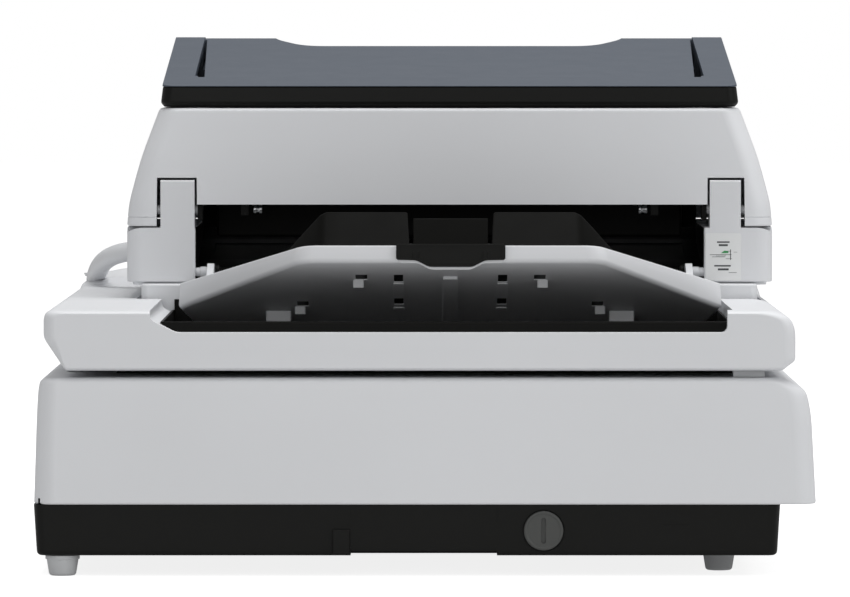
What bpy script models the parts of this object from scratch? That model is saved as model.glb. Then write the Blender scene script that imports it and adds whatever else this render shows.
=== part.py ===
"""A3 document scanner: a flatbed base, a thick document cover hinged along its rear edge, and a sheet
feeder with a folding paper chute and a paper stacker on that cover. X runs to the operator's side, Y to the
feeding end, Z up, and the middle of the feet's footprint is the origin. Sizes below are in millimetres."""

import math

import bmesh
import bpy

for old in list(bpy.data.objects):
    bpy.data.objects.remove(old, do_unlink=True)

MM = 0.001

# Driving sizes
WIDTH = 500.0  # X
LENGTH = 706.0  # Y
HEIGHT = 345.0  # Z, feet to the top of the closed chute
FOOT_H = 13.4
PAN_TOP = 46.0
BASE_TOP = 127.0
COVER_LOW = 131.3  # underside of the document cover
COVER_TOP = 170.0
COVER_CROWN = 176.0  # its raised feeding half
WALL = 3.0
GAP = 0.3  # between fitted pieces
FEED_X = 16.5  # middle of the feeder
FEED_HALF = 216.0
FEED_NEAR = -127.0  # the feeder's paper-exit face
FEED_DEEP = 235.0
BLOCK_LOW = 181.0  # side blocks of the feeder
BLOCK_TOP = 214.0
SEAM = 218.3  # where the feeder's cover starts
EXIT_TOP = 232.7  # top of the paper exit
SHELL_TOP = 297.0  # top of the feeder's cover
LID_HALF = 193.5
LID_LIP = 14.5  # near thickness of the closed chute
GLASS_W = 340.0
GLASS_L = 450.0

W2, L2 = WIDTH / 2, LENGTH / 2
FEED_FAR = FEED_NEAR + FEED_DEEP
RIGHT = W2 - 23  # the pan stops short of the cover's operator side
INNER = FEED_HALF - 46  # half the clear width between the side blocks

FINISHES = {
    "white": ((0.74, 0.75, 0.77), 0.42, 0),
    "slate": ((0.09, 0.105, 0.13), 0.45, 0),
    "black": ((0.012, 0.012, 0.012), 0.5, 0),
    "grey": ((0.11, 0.12, 0.12), 0.45, 0),
    "foot": ((0.62, 0.62, 0.62), 0.6, 0),
    "rubber": ((0.03, 0.03, 0.03), 0.85, 0),
    "glass": ((0.75, 0.85, 0.84), 0.05, 0),
    "foam": ((0.9, 0.9, 0.9), 0.8, 0),
    "steel": ((0.6, 0.6, 0.6), 0.28, 1),
    "board": ((0.02, 0.16, 0.07), 0.5, 0),
    "label": ((0.85, 0.85, 0.85), 0.5, 0),
    "blue": ((0.05, 0.14, 0.35), 0.4, 0),
    "display": ((0.01, 0.015, 0.02), 0.1, 0),
}
AXES = {"x": (1, 2, 0), "y": (0, 2, 1), "z": (0, 1, 2)}


# Outlines, in two dimensions
def rounded(x0, x1, y0, y1, r, n=3):
    """Rectangle with rounded corners."""
    points = []
    corners = ((x1 - r, y1 - r), (x0 + r, y1 - r), (x0 + r, y0 + r), (x1 - r, y0 + r))
    for quarter, (cx, cy) in enumerate(corners):
        for i in range(n + 1):
            a = math.radians(90 * (quarter + i / n))
            points.append((cx + r * math.cos(a), cy + r * math.sin(a)))
    return points


def circle(cx, cy, r, n=16):
    turns = [2 * math.pi * (i + 0.5) / n for i in range(n)]
    return [(cx + r * math.cos(a), cy + r * math.sin(a)) for a in turns]


def placed(outline, axis, at):
    """The outline as points in space, across an axis at a height along it."""
    u, v, w = AXES[axis]
    points = []
    for a, b in outline:
        point = [0.0, 0.0, 0.0]
        point[u], point[v], point[w] = a, b, at
        points.append(tuple(point))
    return points


# Solids: (points, faces)
def loft(*rings):
    """Through rings of equally many points, with flat ends."""
    n, total = len(rings[0]), len(rings) * len(rings[0])
    faces = [list(range(n)), list(range(total - n, total))]
    for a in range(0, total - n, n):
        faces += [(a + i, a + (i + 1) % n, a + n + (i + 1) % n, a + n + i) for i in range(n)]
    return [p for ring in rings for p in ring], faces


def prism(outline, axis, lo, hi):
    return loft(placed(outline, axis, lo), placed(outline, axis, hi))


def block(x0, x1, y0, y1, z0, z1):
    return prism([(x0, y0), (x1, y0), (x1, y1), (x0, y1)], "z", z0, z1)


def rod(cx, cy, r, axis, lo, hi, n=16):
    return prism(circle(cx, cy, r, n), axis, lo, hi)


def turned(cy, cz, steps, n=14):
    """A shaft along X from (x, radius) steps."""
    return loft(*(placed(circle(cy, cz, r, n), "x", x) for x, r in steps))


def moved(shape, place):
    """The shape with each point sent through place(x, y, z)."""
    return [place(*p) for p in shape[0]], shape[1]


# Objects
def mesh_object(name, shape, origin=(0, 0, 0)):
    mesh = bpy.data.meshes.new(name)
    points = [tuple((c - o) * MM for c, o in zip(p, origin)) for p in shape[0]]
    mesh.from_pydata(points, [], shape[1])
    bm = bmesh.new()
    bm.from_mesh(mesh)
    bmesh.ops.recalc_face_normals(bm, faces=bm.faces)
    bm.to_mesh(mesh)
    bm.free()
    obj = bpy.data.objects.new(name, mesh)
    obj.location = [c * MM for c in origin]
    bpy.context.scene.collection.objects.link(obj)
    return obj


def piece(name, shape, finish, origin=(0, 0, 0), bevel=0.0, smooth=False, cuts=(), adds=(), bores=()):
    """A named piece. It is bevelled first, then cut, then joined with its adds, then bored."""
    obj = mesh_object(name, shape, origin)
    colour, roughness, metallic = FINISHES[finish]
    material = bpy.data.materials.new(name)
    material.use_nodes = True
    shader = material.node_tree.nodes["Principled BSDF"]
    shader.inputs["Base Color"].default_value = (*colour, 1)
    shader.inputs["Roughness"].default_value = roughness
    shader.inputs["Metallic"].default_value = metallic
    obj.data.materials.append(material)
    if bevel:
        modifier = obj.modifiers.new("edges", "BEVEL")
        modifier.width, modifier.segments, modifier.limit_method = bevel * MM, 2, "ANGLE"
        modifier.angle_limit = math.radians(40)
    work = [("DIFFERENCE", s) for s in cuts] + [("UNION", s) for s in adds]
    for i, (operation, other) in enumerate(work + [("DIFFERENCE", s) for s in bores]):
        tool = mesh_object(f"{name}_tool_{i}", other)
        tool.hide_render, tool.display_type = True, "WIRE"
        modifier = obj.modifiers.new(f"{operation.lower()}_{i}", "BOOLEAN")
        modifier.operation, modifier.object, modifier.solver = operation, tool, "EXACT"
    if smooth:
        obj.data.polygons.foreach_set("use_smooth", [True] * len(obj.data.polygons))
        obj.data.set_sharp_from_angle(angle=math.radians(40))
    return obj


# ---------------------------------------------------------------- base
PAN_NEAR = -L2 + 2.5
FLOOR = FOOT_H + 5  # top of the pan's floor
KNOB_X, KNOB_Z, KNOB_R = 75.7, 29.4, 12.6
PORT_Y = {"inlet": 190.0, "switch": 245.0, "data": 130.0}

pan = loft(
    placed(rounded(-W2 + 2, RIGHT - 2, PAN_NEAR + 0.8, -PAN_NEAR - 0.8, 7), "z", FOOT_H),
    placed(rounded(-W2, RIGHT, PAN_NEAR, -PAN_NEAR, 7), "z", PAN_TOP),
)
piece(
    "base_pan", pan, "black",
    cuts=[
        prism(rounded(-W2 + 5, RIGHT - 5, PAN_NEAR + 5, -PAN_NEAR - 5, 4), "z", FLOOR, PAN_TOP + 9),
        block(-47.5, 46, PAN_NEAR - 9, PAN_NEAR + 24, FOOT_H - 3, FOOT_H + 3.2),
        rod(KNOB_X, KNOB_Z, KNOB_R + 0.8, "y", PAN_NEAR - 5, PAN_NEAR + 1.8, 28),
        rod(KNOB_X, KNOB_Z, 5 + GAP, "y", PAN_NEAR - 5, PAN_NEAR + 9),
        block(-W2 - 5, -W2 + 9, PORT_Y["inlet"] - 14.3, PORT_Y["inlet"] + 14.3, 21.7, 42.3),
        block(-W2 - 5, -W2 + 9, PORT_Y["switch"] - 8.9, PORT_Y["switch"] + 8.9, 22, 42),
        block(-W2 - 5, -W2 + 9, PORT_Y["data"] - 7.3, PORT_Y["data"] + 7.3, 25.7, 38.3),
    ],
    adds=[block(-59, -48, PAN_NEAR - 1.4, PAN_NEAR + 3, FOOT_H + 0.8, 30)],
)

cover_levels = (
    (PAN_TOP + GAP, W2, W2, L2, 14),
    (119.0, W2 - 2.6, W2 - 4.1, L2 - 1.4, 13),
    (BASE_TOP - 2, W2 - 3.8, W2 - 17, L2 - 2.4, 12),
    (BASE_TOP, W2 - 6.5, W2 - 23.4, L2 - 5, 10),
)
base_shape = loft(*(
    placed(rounded(-left, right, -deep, deep, r, 4), "z", z) for z, left, right, deep, r in cover_levels
))
BED = (-GLASS_W / 2 - 30, GLASS_W / 2 + 30, -GLASS_L / 2 - 55, GLASS_L / 2 + 5)  # opening in the base's top
PANEL_Y0, PANEL_Y1, PANEL_X = -70.0, 110.0, W2 - 7.0
BUTTONS = {"power": -54.0, "scan": 50.0, "stop": 70.0, "function": 92.0}
BUTTON_Z = 80.0
hole = [
    block(W2 - 15, W2 + 5, y - 6.4, y + 6.4, BUTTON_Z - 6.4, BUTTON_Z + 6.4) for y in BUTTONS.values()
]
piece(
    "base_cover", base_shape, "white",
    cuts=[
        block(-W2 + WALL, RIGHT + 2, -L2 + 4, L2 - 4, PAN_TOP - 9, PAN_TOP + 4),
        prism(rounded(-W2 + 7, W2 - 12, -L2 + 6, L2 - 6, 8), "z", PAN_TOP + 3, BASE_TOP - 14),
        prism(rounded(-W2 + 9, W2 - 22, -L2 + 6, L2 - 6, 8), "z", BASE_TOP - 16, BASE_TOP - 3.5),
        block(BED[0], BED[1], BED[2], BED[3], BASE_TOP - 9, BASE_TOP + 9),
        block(PANEL_X, W2 + 9, PANEL_Y0, PANEL_Y1, 56, 100),
    ] + hole,
)

bx0, bx1, by0, by1 = (b + s * GAP for b, s in zip(BED, (1, -1, 1, -1)))
gy0, gy1 = BED[2] + 30, BED[3] - 30  # glass
piece(
    "bed_frame", block(bx0, bx1, by0, by1, BASE_TOP - 7, BASE_TOP + 0.6), "black",
    cuts=[
        block(-GLASS_W / 2 + 6, GLASS_W / 2 - 6, gy0 + 6, gy1 - 6, BASE_TOP - 20, BASE_TOP + 9),
        block(-GLASS_W / 2 - GAP, GLASS_W / 2 + GAP, gy0 - GAP, gy1 + GAP, BASE_TOP - 3.8, BASE_TOP + 9),
    ],
)
piece("bed_glass", block(-GLASS_W / 2, GLASS_W / 2, gy0, gy1, BASE_TOP - 3.5, BASE_TOP - 0.3), "glass")

FEET = {
    "near_left": (-W2 + 18, PAN_NEAR + 14), "near_right": (W2 - 60, PAN_NEAR + 62),
    "far_left": (-W2 + 18, -PAN_NEAR - 14), "far_right": (W2 - 60, -PAN_NEAR - 62),
}
for place, (x, y) in FEET.items():
    rings = ((0, 8.0), (0.8, 8.8), (FOOT_H - GAP, 11.0))
    foot = loft(*(placed(circle(x, y, r, 20), "z", z) for z, r in rings))
    piece(f"foot_{place}", foot, "foot", smooth=True)

# Scanning carriage on its two rods
RAIL_X, RAIL_Z, RAIL_R = GLASS_W / 2 - 20, 78.0, 4.0
RAIL_END = L2 - 26
PULLEY_Z, PULLEY_R, BELT_T, PULLEY_Y = 55.0, 10.0, 1.5, L2 - 53
LOOP = PULLEY_R + 0.4
for side, x in (("left", -RAIL_X), ("right", RAIL_X)):
    piece(
        f"guide_rod_{side}", rod(x, RAIL_Z, RAIL_R, "y", -RAIL_END - 7, RAIL_END + 7, 12), "steel", smooth=True
    )
sockets = [rod(s * RAIL_X, RAIL_Z, RAIL_R + GAP, "y", -L2, L2, 12) for s in (-1, 1)]
post = (-RAIL_X - 15, RAIL_X + 15)
piece(
    "rail_bracket_near", block(*post, -RAIL_END - 8, -RAIL_END, FLOOR + GAP, 92), "steel",
    cuts=[block(-RAIL_X + 12, RAIL_X - 12, -RAIL_END - 20, -RAIL_END + 9, 66, 99)],
    adds=[
        block(x0, x1, -RAIL_END - 4, -PULLEY_Y + 15, FLOOR + GAP, 64) for x0, x1 in ((-12, -7), (7, 12))
    ],
    bores=sockets + [rod(-PULLEY_Y, PULLEY_Z, 2.5 + GAP, "x", -20, 20, 12)],
)
piece(
    "rail_bracket_far", block(*post, RAIL_END, RAIL_END + 8, FLOOR + GAP, 92), "steel",
    cuts=[block(-RAIL_X + 12, RAIL_X - 12, RAIL_END - 9, RAIL_END + 20, 66, 99)],
    adds=[block(9, 60, PULLEY_Y - 26, RAIL_END + 4, FLOOR + GAP, 33)],
    bores=sockets,
)
piece("carriage_motor", block(12, 56, PULLEY_Y - 21, PULLEY_Y + 21, 33 + GAP, 76), "steel", bevel=3,
      cuts=[rod(PULLEY_Y, PULLEY_Z, 2.5 + GAP, "x", 5, 40, 12)])
for place, y, steps in (
    ("drive", PULLEY_Y, ((-6, PULLEY_R), (6, PULLEY_R), (6, 2.5), (36, 2.5))),
    ("idler", -PULLEY_Y, ((-11.5, 2.5), (-5.5, 2.5), (-5.5, PULLEY_R), (5.5, PULLEY_R), (5.5, 2.5), (11.5, 2.5))),
):
    piece(f"{place}_pulley", turned(y, PULLEY_Z, steps, 16), "grey", (0, y, PULLEY_Z), smooth=True)


def belt_outline(r):
    """Race-track round both pulleys."""
    half = [math.radians(-90 + 180 * i / 8) for i in range(9)]
    far = [(PULLEY_Y + r * math.cos(a), PULLEY_Z + r * math.sin(a)) for a in half]
    return far + [(-PULLEY_Y - r * math.cos(a), PULLEY_Z - r * math.sin(a)) for a in half]


piece("carriage_belt", prism(belt_outline(LOOP + BELT_T), "x", -4, 4), "rubber",
      cuts=[prism(belt_outline(LOOP), "x", -9, 9)])

CAR_Y = gy0 + 6
CAR_X = GLASS_W / 2 - 6
slot_z = PULLEY_Z + LOOP
piece(
    "scan_carriage", block(-CAR_X, CAR_X, CAR_Y, CAR_Y + 54, 70, 112), "black",
    origin=(0, CAR_Y, 70),
    cuts=[block(-CAR_X + 30, CAR_X - 30, CAR_Y + 30, CAR_Y + 50, 80, 130)],
    adds=[block(-8, 8, CAR_Y + 12, CAR_Y + 28, slot_z - 4, 74)],
    bores=[rod(s * RAIL_X, RAIL_Z, RAIL_R + 0.4, "y", CAR_Y - 9, CAR_Y + 70, 12) for s in (-1, 1)]
    + [block(-4.5, 4.5, CAR_Y - 5, CAR_Y + 40, slot_z - 0.4, slot_z + BELT_T + 0.4)],
)
piece("carriage_lamp", block(-CAR_X + 8, CAR_X - 8, CAR_Y + 10, CAR_Y + 20, 112 + GAP, 115.5), "foam",
      origin=(0, CAR_Y, 70), bevel=1)

# Electrics
piece(
    "main_board", block(20, GLASS_W / 2 - 12, -GLASS_L / 2, -60, 25, 27), "board",
    adds=[block(x - 4, x + 4, y - 4, y + 4, FLOOR + GAP, 26) for x in (32, 140) for y in (-215, -75)]
    + [block(60, 95, -180, -140, 26, 32), block(110, 130, -160, -120, 26, 30)],
)
piece("power_supply", block(-W2 + 16, -GLASS_W / 2 - 8, -110, 70, FLOOR + GAP, 62), "steel", bevel=1.5)
WALL_X = -W2 + 1.2
y = PORT_Y["inlet"]
piece(
    "power_inlet", block(WALL_X, -W2 + 26, y - 14, y + 14, 22, 42), "black",
    cuts=[block(WALL_X - 5, -W2 + 18, y - 11, y + 11, 25, 39)],
)
y = PORT_Y["data"]
piece("data_port", block(WALL_X, -W2 + 20, y - 7, y + 7, 26, 38), "steel",
      cuts=[block(WALL_X - 5, -W2 + 15, y - 5, y + 5, 28, 36)])
y = PORT_Y["switch"]
rocker = [(-W2 + 8, y - 6), (-W2 + 0.8, y - 6), (-W2 + 2.4, y), (-W2 + 2.8, y + 6), (-W2 + 8, y + 6)]
piece("power_switch", prism(rocker, "z", 22.5, 41.5), "black", origin=(-W2 + 7, y, 32))

knob = prism(circle(KNOB_X, KNOB_Z, KNOB_R, 32), "y", PAN_NEAR - 1.8, PAN_NEAR + 1.4)
piece(
    "transport_lock", knob, "grey", origin=(KNOB_X, PAN_NEAR, KNOB_Z),
    cuts=[block(KNOB_X - 1.5, KNOB_X + 1.5, PAN_NEAR - 5, PAN_NEAR - 0.4, KNOB_Z - 8.2, KNOB_Z + 8.2)],
    adds=[rod(KNOB_X, KNOB_Z, 5, "y", PAN_NEAR, PAN_NEAR + 12)],
)

# Operator panel on the base's operator side
pads = [
    block(W2 - 20, W2 + 5, y - 6.4, y + 6.4, BUTTON_Z - 6.4, BUTTON_Z + 6.4) for y in BUTTONS.values()
]
screen = (-38.0, 32.0, 62.0, 94.0)
piece(
    "panel_bezel",
    block(PANEL_X + GAP, PANEL_X + 3.6, PANEL_Y0 + GAP, PANEL_Y1 - GAP, 56 + GAP, 100 - GAP), "black",
    cuts=pads + [block(PANEL_X - 5, W2 + 5, screen[0], screen[1], screen[2], screen[3])],
)
piece("panel_display", block(PANEL_X + GAP, PANEL_X + 3.2, screen[0] + GAP, screen[1] - GAP,
                             screen[2] + GAP, screen[3] - GAP), "display")
for name, y in BUTTONS.items():
    stem = block(W2 - 17, PANEL_X + 5.4, y - 6, y + 6, BUTTON_Z - 6, BUTTON_Z + 6)
    head = block(W2 - 19, W2 - 12.8, y - 7.6, y + 7.6, BUTTON_Z - 7.6, BUTTON_Z + 7.6)
    piece(f"button_{name}", stem, "blue" if name == "scan" else "grey", (W2 - 12.8, y, BUTTON_Z), 1.0,
          adds=[head])

# Rear hinges and the rests that the closed cover sits on
HINGE_X, HINGE_Z = -W2 + 24, 143.0
HINGE_Y = L2 - 103
for place, y in (("near", -HINGE_Y), ("far", HINGE_Y)):
    leaf = [
        (HINGE_X - 7, BASE_TOP + GAP), (HINGE_X + 7, BASE_TOP + GAP),
        (HINGE_X + 6, HINGE_Z + 4), (HINGE_X + 3, HINGE_Z + 6.5), (HINGE_X - 3, HINGE_Z + 6.5),
        (HINGE_X - 6, HINGE_Z + 4),
    ]
    piece(f"hinge_{place}", prism(leaf, "y", y - 11, y + 11), "steel",
          adds=[rod(HINGE_X, HINGE_Z, 3, "y", y - 20, y + 20)])
for place, y in (("near", -L2 + 20), ("far", L2 - 20)):
    piece(f"cover_rest_{place}", block(197, 217, y - 8, y + 8, BASE_TOP + GAP, COVER_LOW - GAP), "foot")

# ---------------------------------------------------------------- document cover
XL, XR = -W2 + 6.5, W2 - 13.5
HINGE_AT = (HINGE_X, 0, HINGE_Z)


def cover_ring(y, inset, top):
    low = COVER_LOW + inset
    return placed([
        (XL + 14, low), (XR - 8.5, low), (XR - inset, low + 6.5), (XR - inset, top - 13),
        (XR - 2.5 - inset, top - 6), (XR - 7 - inset, top - 2 - inset), (XR - 13, top - inset),
        (XL + 7, top - inset), (XL + 2 + inset, top - 2 - inset), (XL + inset, top - 6),
        (XL + inset, COVER_LOW + 21),
    ], "y", y)


notch = [
    (FEED_X - 192, COVER_TOP + 40), (FEED_X - 192, COVER_TOP - 7), (FEED_X - 175.5, COVER_TOP - 16.2),
    (FEED_X + 176, COVER_TOP - 16.2), (FEED_X + 179, COVER_TOP - 13), (FEED_X + 179, COVER_TOP + 40),
]
RECESS = (FEED_X - 171.5, FEED_X + 175.5)
RECESS_Z = COVER_TOP - 28
POCKET_Z = COVER_TOP - 12
lug = [
    block(XL - 20, HINGE_X + 10, y - 14, y + 14, COVER_LOW - 20, HINGE_Z + 13) for y in (-HINGE_Y, HINGE_Y)
]
bore = [rod(HINGE_X, HINGE_Z, 3.4, "y", y - 22, y + 22) for y in (-HINGE_Y, HINGE_Y)]
piece(
    "cover_shell",
    loft(
        cover_ring(-L2 + 1, 2.5, COVER_TOP), cover_ring(-L2 + 3.5, 0, COVER_TOP),
        cover_ring(FEED_FAR + 8, 0, COVER_TOP), cover_ring(FEED_FAR + 34, 0, COVER_CROWN),
        cover_ring(L2 - 12, 0, COVER_CROWN), cover_ring(L2 - 1, 2.5, COVER_CROWN - 2),
    ),
    "white", origin=HINGE_AT,
    cuts=[
        block(XL + 31, XR - 15, -L2 + 8, L2 - 8, COVER_LOW - 20, COVER_LOW + 3.3),
        block(XL + 39, XR - 24, FEED_FAR + 14, L2 - 14, COVER_LOW - 20, COVER_TOP - 6),
        prism(notch, "y", -L2 - 10, FEED_NEAR - 9),
        block(*RECESS, -L2 + 12, FEED_NEAR + 10, RECESS_Z, COVER_TOP + 30),
        block(FEED_X - 209, FEED_X + 208.5, FEED_NEAR - 9, FEED_FAR + 8, POCKET_Z, COVER_TOP + 30),
    ] + lug + bore,
)
piece("cover_plate", block(XL + 31.3, XR - 15.3, -L2 + 8.3, L2 - 8.3, COVER_LOW + 0.3, COVER_LOW + 3), "white",
      origin=HINGE_AT)
piece(
    "document_pad",
    block(-GLASS_W / 2 + 2, GLASS_W / 2 - 2, gy0 + 2, gy1 - 2, BASE_TOP + 1.2, COVER_LOW), "foam",
    origin=HINGE_AT,
)
r0, r1 = RECESS[0] + GAP, RECESS[1] - GAP
piece(
    "trough_liner", block(r0, r1, -L2 + 12.3, FEED_NEAR - 10, RECESS_Z + GAP, COVER_TOP - 17), "black",
    origin=HINGE_AT,
    cuts=[block(r0 + 2, r1 - 2, -L2 + 14.3, FEED_NEAR + 9, RECESS_Z + 2.3, COVER_TOP)],
)

# ---------------------------------------------------------------- feeder, fixed on the cover
PIVOT_Y, PIVOT_Z = FEED_NEAR + 9, SEAM + 10.7  # feeder cover's hinge
STACK_Y, STACK_Z = FEED_NEAR + 6, BLOCK_LOW + 6.5  # stacker's hinge
ARMS = ((FEED_X - 193.2, FEED_X - 170.5), (FEED_X + 173.8, FEED_X + 194.5))


def side_block(s):
    x0, x1 = sorted((FEED_X + s * INNER, FEED_X + s * FEED_HALF))
    return prism(rounded(x0, x1, FEED_NEAR, FEED_FAR, 9, 3), "z", BLOCK_LOW, BLOCK_TOP)


def rim(s):
    x0, x1 = sorted((FEED_X + s * (INNER + 8), FEED_X + s * (FEED_HALF - 4)))
    return block(x0, x1, FEED_NEAR + 16, FEED_FAR - 6, BLOCK_TOP - 4, SEAM - 0.6)


piece(
    "feeder_base",
    block(FEED_X - 206, FEED_X + 205.5, FEED_NEAR - 6, FEED_FAR + 5, POCKET_Z + GAP, BLOCK_LOW - 1), "white",
    origin=HINGE_AT,
    cuts=[block(RECESS[0] - 3, RECESS[1] + 3, FEED_NEAR - 20, FEED_NEAR + 3, POCKET_Z - 9, BLOCK_LOW + 9)],
    adds=[
        prism(rounded(x0 + s, x1 + s, FEED_NEAR + 4, FEED_FAR - 4, 4), "z", BLOCK_LOW - 4, BLOCK_LOW + 3)
        for x0, x1, s in ((FEED_X - 204, FEED_X - INNER - 1, 0), (FEED_X + INNER + 1, FEED_X + 203.5, 0))
    ] + [side_block(-1), side_block(1), rim(-1), rim(1)] + [
        block(x0, x1, FEED_NEAR + 0.6, FEED_NEAR + 27, BLOCK_TOP - 6, PIVOT_Z + 20) for x0, x1 in ARMS
    ] + [rod(PIVOT_Y, PIVOT_Z, 3, "x", x0 - 5, x1 + 5, 12) for x0, x1 in ARMS],
    bores=[
        block(FEED_X + s * 159.5 - 5, FEED_X + s * 159.5 + 5, FEED_NEAR - 9, FEED_NEAR + 22,
              BLOCK_LOW - 8, BLOCK_LOW + 4) for s in (-1, 1)
    ] + [rod(STACK_Y, STACK_Z, 3.4, "x", FEED_X - INNER - 3.4, FEED_X + INNER + 3.4, 12)],
)
FRAME_NEAR = FEED_NEAR + 23
guide = [
    (FRAME_NEAR, BLOCK_LOW - 0.7), (FEED_FAR - 4, BLOCK_LOW - 0.7), (FEED_FAR - 4, 226), (FEED_FAR - 20, 226),
    (FEED_FAR - 48, 220), (FEED_NEAR + 137, 206), (FEED_NEAR + 67, 194), (FRAME_NEAR, 190),
]
ROLLERS = {  # centre y, z, radius, half length
    "feed": (FEED_NEAR + 141, 200.0, 10.0, 58.0),
    "brake": (FEED_FAR - 42, 214.6, 9.0, 40.0),
    "eject": (FEED_NEAR + 43, 188.6, 5.4, 120.0),
}


def roller(y, z, r, half, shaft=3.0):
    steps = [(-half - 10, shaft), (-half, shaft), (-half, r), (-half * 0.35, r), (-half * 0.35, shaft)]
    steps += [(-x, radius) for x, radius in steps[::-1]]
    return turned(y, z, [(FEED_X + x, radius) for x, radius in steps])


beds = []
for y, z, r, half in ROLLERS.values():
    beds.append(rod(y, z, r + 0.9, "x", FEED_X - half - 1, FEED_X + half + 1, 14))
    beds.append(rod(y, z, 3.4, "x", FEED_X - half - 11, FEED_X + half + 11, 12))
S0, S1 = FEED_NEAR + 87, FEED_NEAR + 123  # lower image sensor
piece(
    "feeder_frame", prism(guide, "x", FEED_X - INNER + GAP, FEED_X + INNER - GAP), "black", origin=HINGE_AT,
    cuts=beds + [block(FEED_X - 160, FEED_X + 160, S0, S1, 184, 260)],
)
piece(
    "sensor_lower",
    prism([(S0 + GAP, 184 + GAP), (S1 - GAP, 184 + GAP), (S1 - GAP, 203), (S0 + GAP, 196.8)], "x",
          FEED_X - 160 + GAP, FEED_X + 160 - GAP), "black", origin=HINGE_AT,
)
for name, (y, z, r, half) in ROLLERS.items():
    piece(f"{name}_roller", roller(y, z, r, half), "rubber", (FEED_X, y, z), smooth=True)
label_x = FEED_X + INNER + 0.8
piece("position_label",
      block(label_x, label_x + 24, FEED_NEAR - 0.7, FEED_NEAR - GAP, BLOCK_LOW + 0.8, BLOCK_TOP - 0.5), "label",
      origin=HINGE_AT)


def tube(path, r, n=12):
    """Round cable through the points of a path."""
    rings = []
    for i, p in enumerate(path):
        a, b = path[max(i - 1, 0)], path[min(i + 1, len(path) - 1)]
        d = [q - o for o, q in zip(a, b)]
        size = math.sqrt(sum(c * c for c in d))
        t = [c / size for c in d]
        side = [t[1], -t[0], 0.0]
        size = math.sqrt(side[0] ** 2 + side[1] ** 2)
        side = [c / size for c in side]
        up = [side[1] * t[2], -side[0] * t[2], side[0] * t[1] - side[1] * t[0]]
        turns = [2 * math.pi * k / n for k in range(n)]
        rings.append([
            tuple(p[c] + r * (math.cos(w) * side[c] + math.sin(w) * up[c]) for c in range(3)) for w in turns
        ])
    return loft(*rings)


def cable_path(n=12):
    """From the feeder's side, out and over, down to the raised half of the cover."""
    a = (FEED_X - FEED_HALF - 0.4, FEED_FAR - 34, BLOCK_LOW + 15)
    d = (XL + 11.5, FEED_FAR + 42, COVER_CROWN - 3)
    b, c = (a[0] - 16, a[1] + 10, a[2] - 1), (d[0] + 3.5, d[1] - 38, d[2] + 16)
    path = []
    for i in range(n + 1):
        t = i / n
        w = ((1 - t) ** 3, 3 * t * (1 - t) ** 2, 3 * t * t * (1 - t), t**3)
        path.append(tuple(sum(k * q[e] for k, q in zip(w, (a, b, c, d))) for e in range(3)))
    return path


piece("feeder_cable", tube(cable_path(), 6.5), "white", origin=HINGE_AT, smooth=True,
      cuts=[block(XL, XL + 60, FEED_FAR + 20, FEED_FAR + 100, COVER_TOP - 20, COVER_CROWN + GAP),
            block(FEED_X - FEED_HALF - GAP, FEED_X, FEED_NEAR, FEED_FAR, 180, 230)])

# ---------------------------------------------------------------- feeder cover
PIVOT = (FEED_X, PIVOT_Y, PIVOT_Z)


def shell_ring(z, half, near, far, inset=0.0, r=15.0):
    x0, x1 = FEED_X - half + inset, FEED_X + half - inset
    return placed(rounded(x0, x1, near + inset, far - inset, r - inset * 0.6, 4), "z", z)


near, far = FEED_NEAR - 0.5, FEED_FAR
shell = loft(
    shell_ring(SEAM, FEED_HALF, near, far), shell_ring(SEAM + 14, FEED_HALF - 2.6, near + 0.4, far - 0.4),
    shell_ring(SHELL_TOP - 3, FEED_HALF - 19.3, near + 5, far - 3),
    shell_ring(SHELL_TOP, FEED_HALF - 21.5, near + 7, far - 5),
)
hollow = loft(
    shell_ring(SEAM - 9, FEED_HALF + 1.6, near, far, WALL),
    shell_ring(SHELL_TOP - WALL, FEED_HALF - 19.5, near + 5, far - 4, WALL),
)
arm_slots = [
    block(x0 - 1.2, x1 + 1.2, FEED_NEAR - 9, FEED_NEAR + 30, SEAM - 9, PIVOT_Z + 21.5) for x0, x1 in ARMS
]
cheeks = [
    block(x0, x1, near + 1.5, PIVOT_Y + 9, SEAM + 4, PIVOT_Z + 28)
    for x0, x1 in (
        (ARMS[0][0] - 8, ARMS[0][0] - 1.4), (ARMS[0][1] + 1.4, ARMS[0][1] + 8),
        (ARMS[1][0] - 8, ARMS[1][0] - 1.4), (ARMS[1][1] + 1.4, ARMS[1][1] + 8),
    )
]
PICK = (FEED_FAR - 38, 240.0, 12.0, 40.0)
hangers = [
    block(FEED_X + s * 48 - 3.5, FEED_X + s * 48 + 3.5, PICK[0] - 9, PICK[0] + 9, 233, SHELL_TOP - 1)
    for s in (-1, 1)
]
ROD_Y, ROD_Z = PIVOT_Y + 5, EXIT_TOP - 3.4
tabs = [
    block(FEED_X + s * 137 - 2.5, FEED_X + s * 137 + 2.5, near + 1.5, ROD_Y + 5, ROD_Z - 3.8, EXIT_TOP + 14)
    for s in (-1, 1)
]
EAR_Y, EAR_Z = FEED_FAR - 8, SHELL_TOP + 7  # paper chute's hinge
ears = [
    block(FEED_X + s * 150 - 5, FEED_X + s * 150 + 5, EAR_Y - 6, EAR_Y + 4.5, SHELL_TOP - 2, EAR_Z + 5)
    for s in (-1, 1)
]
ear_pins = [
    rod(EAR_Y, EAR_Z, 2.5, "x", FEED_X + s * 150 - 9, FEED_X + s * 150 + 9, 12) for s in (-1, 1)
]
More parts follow.
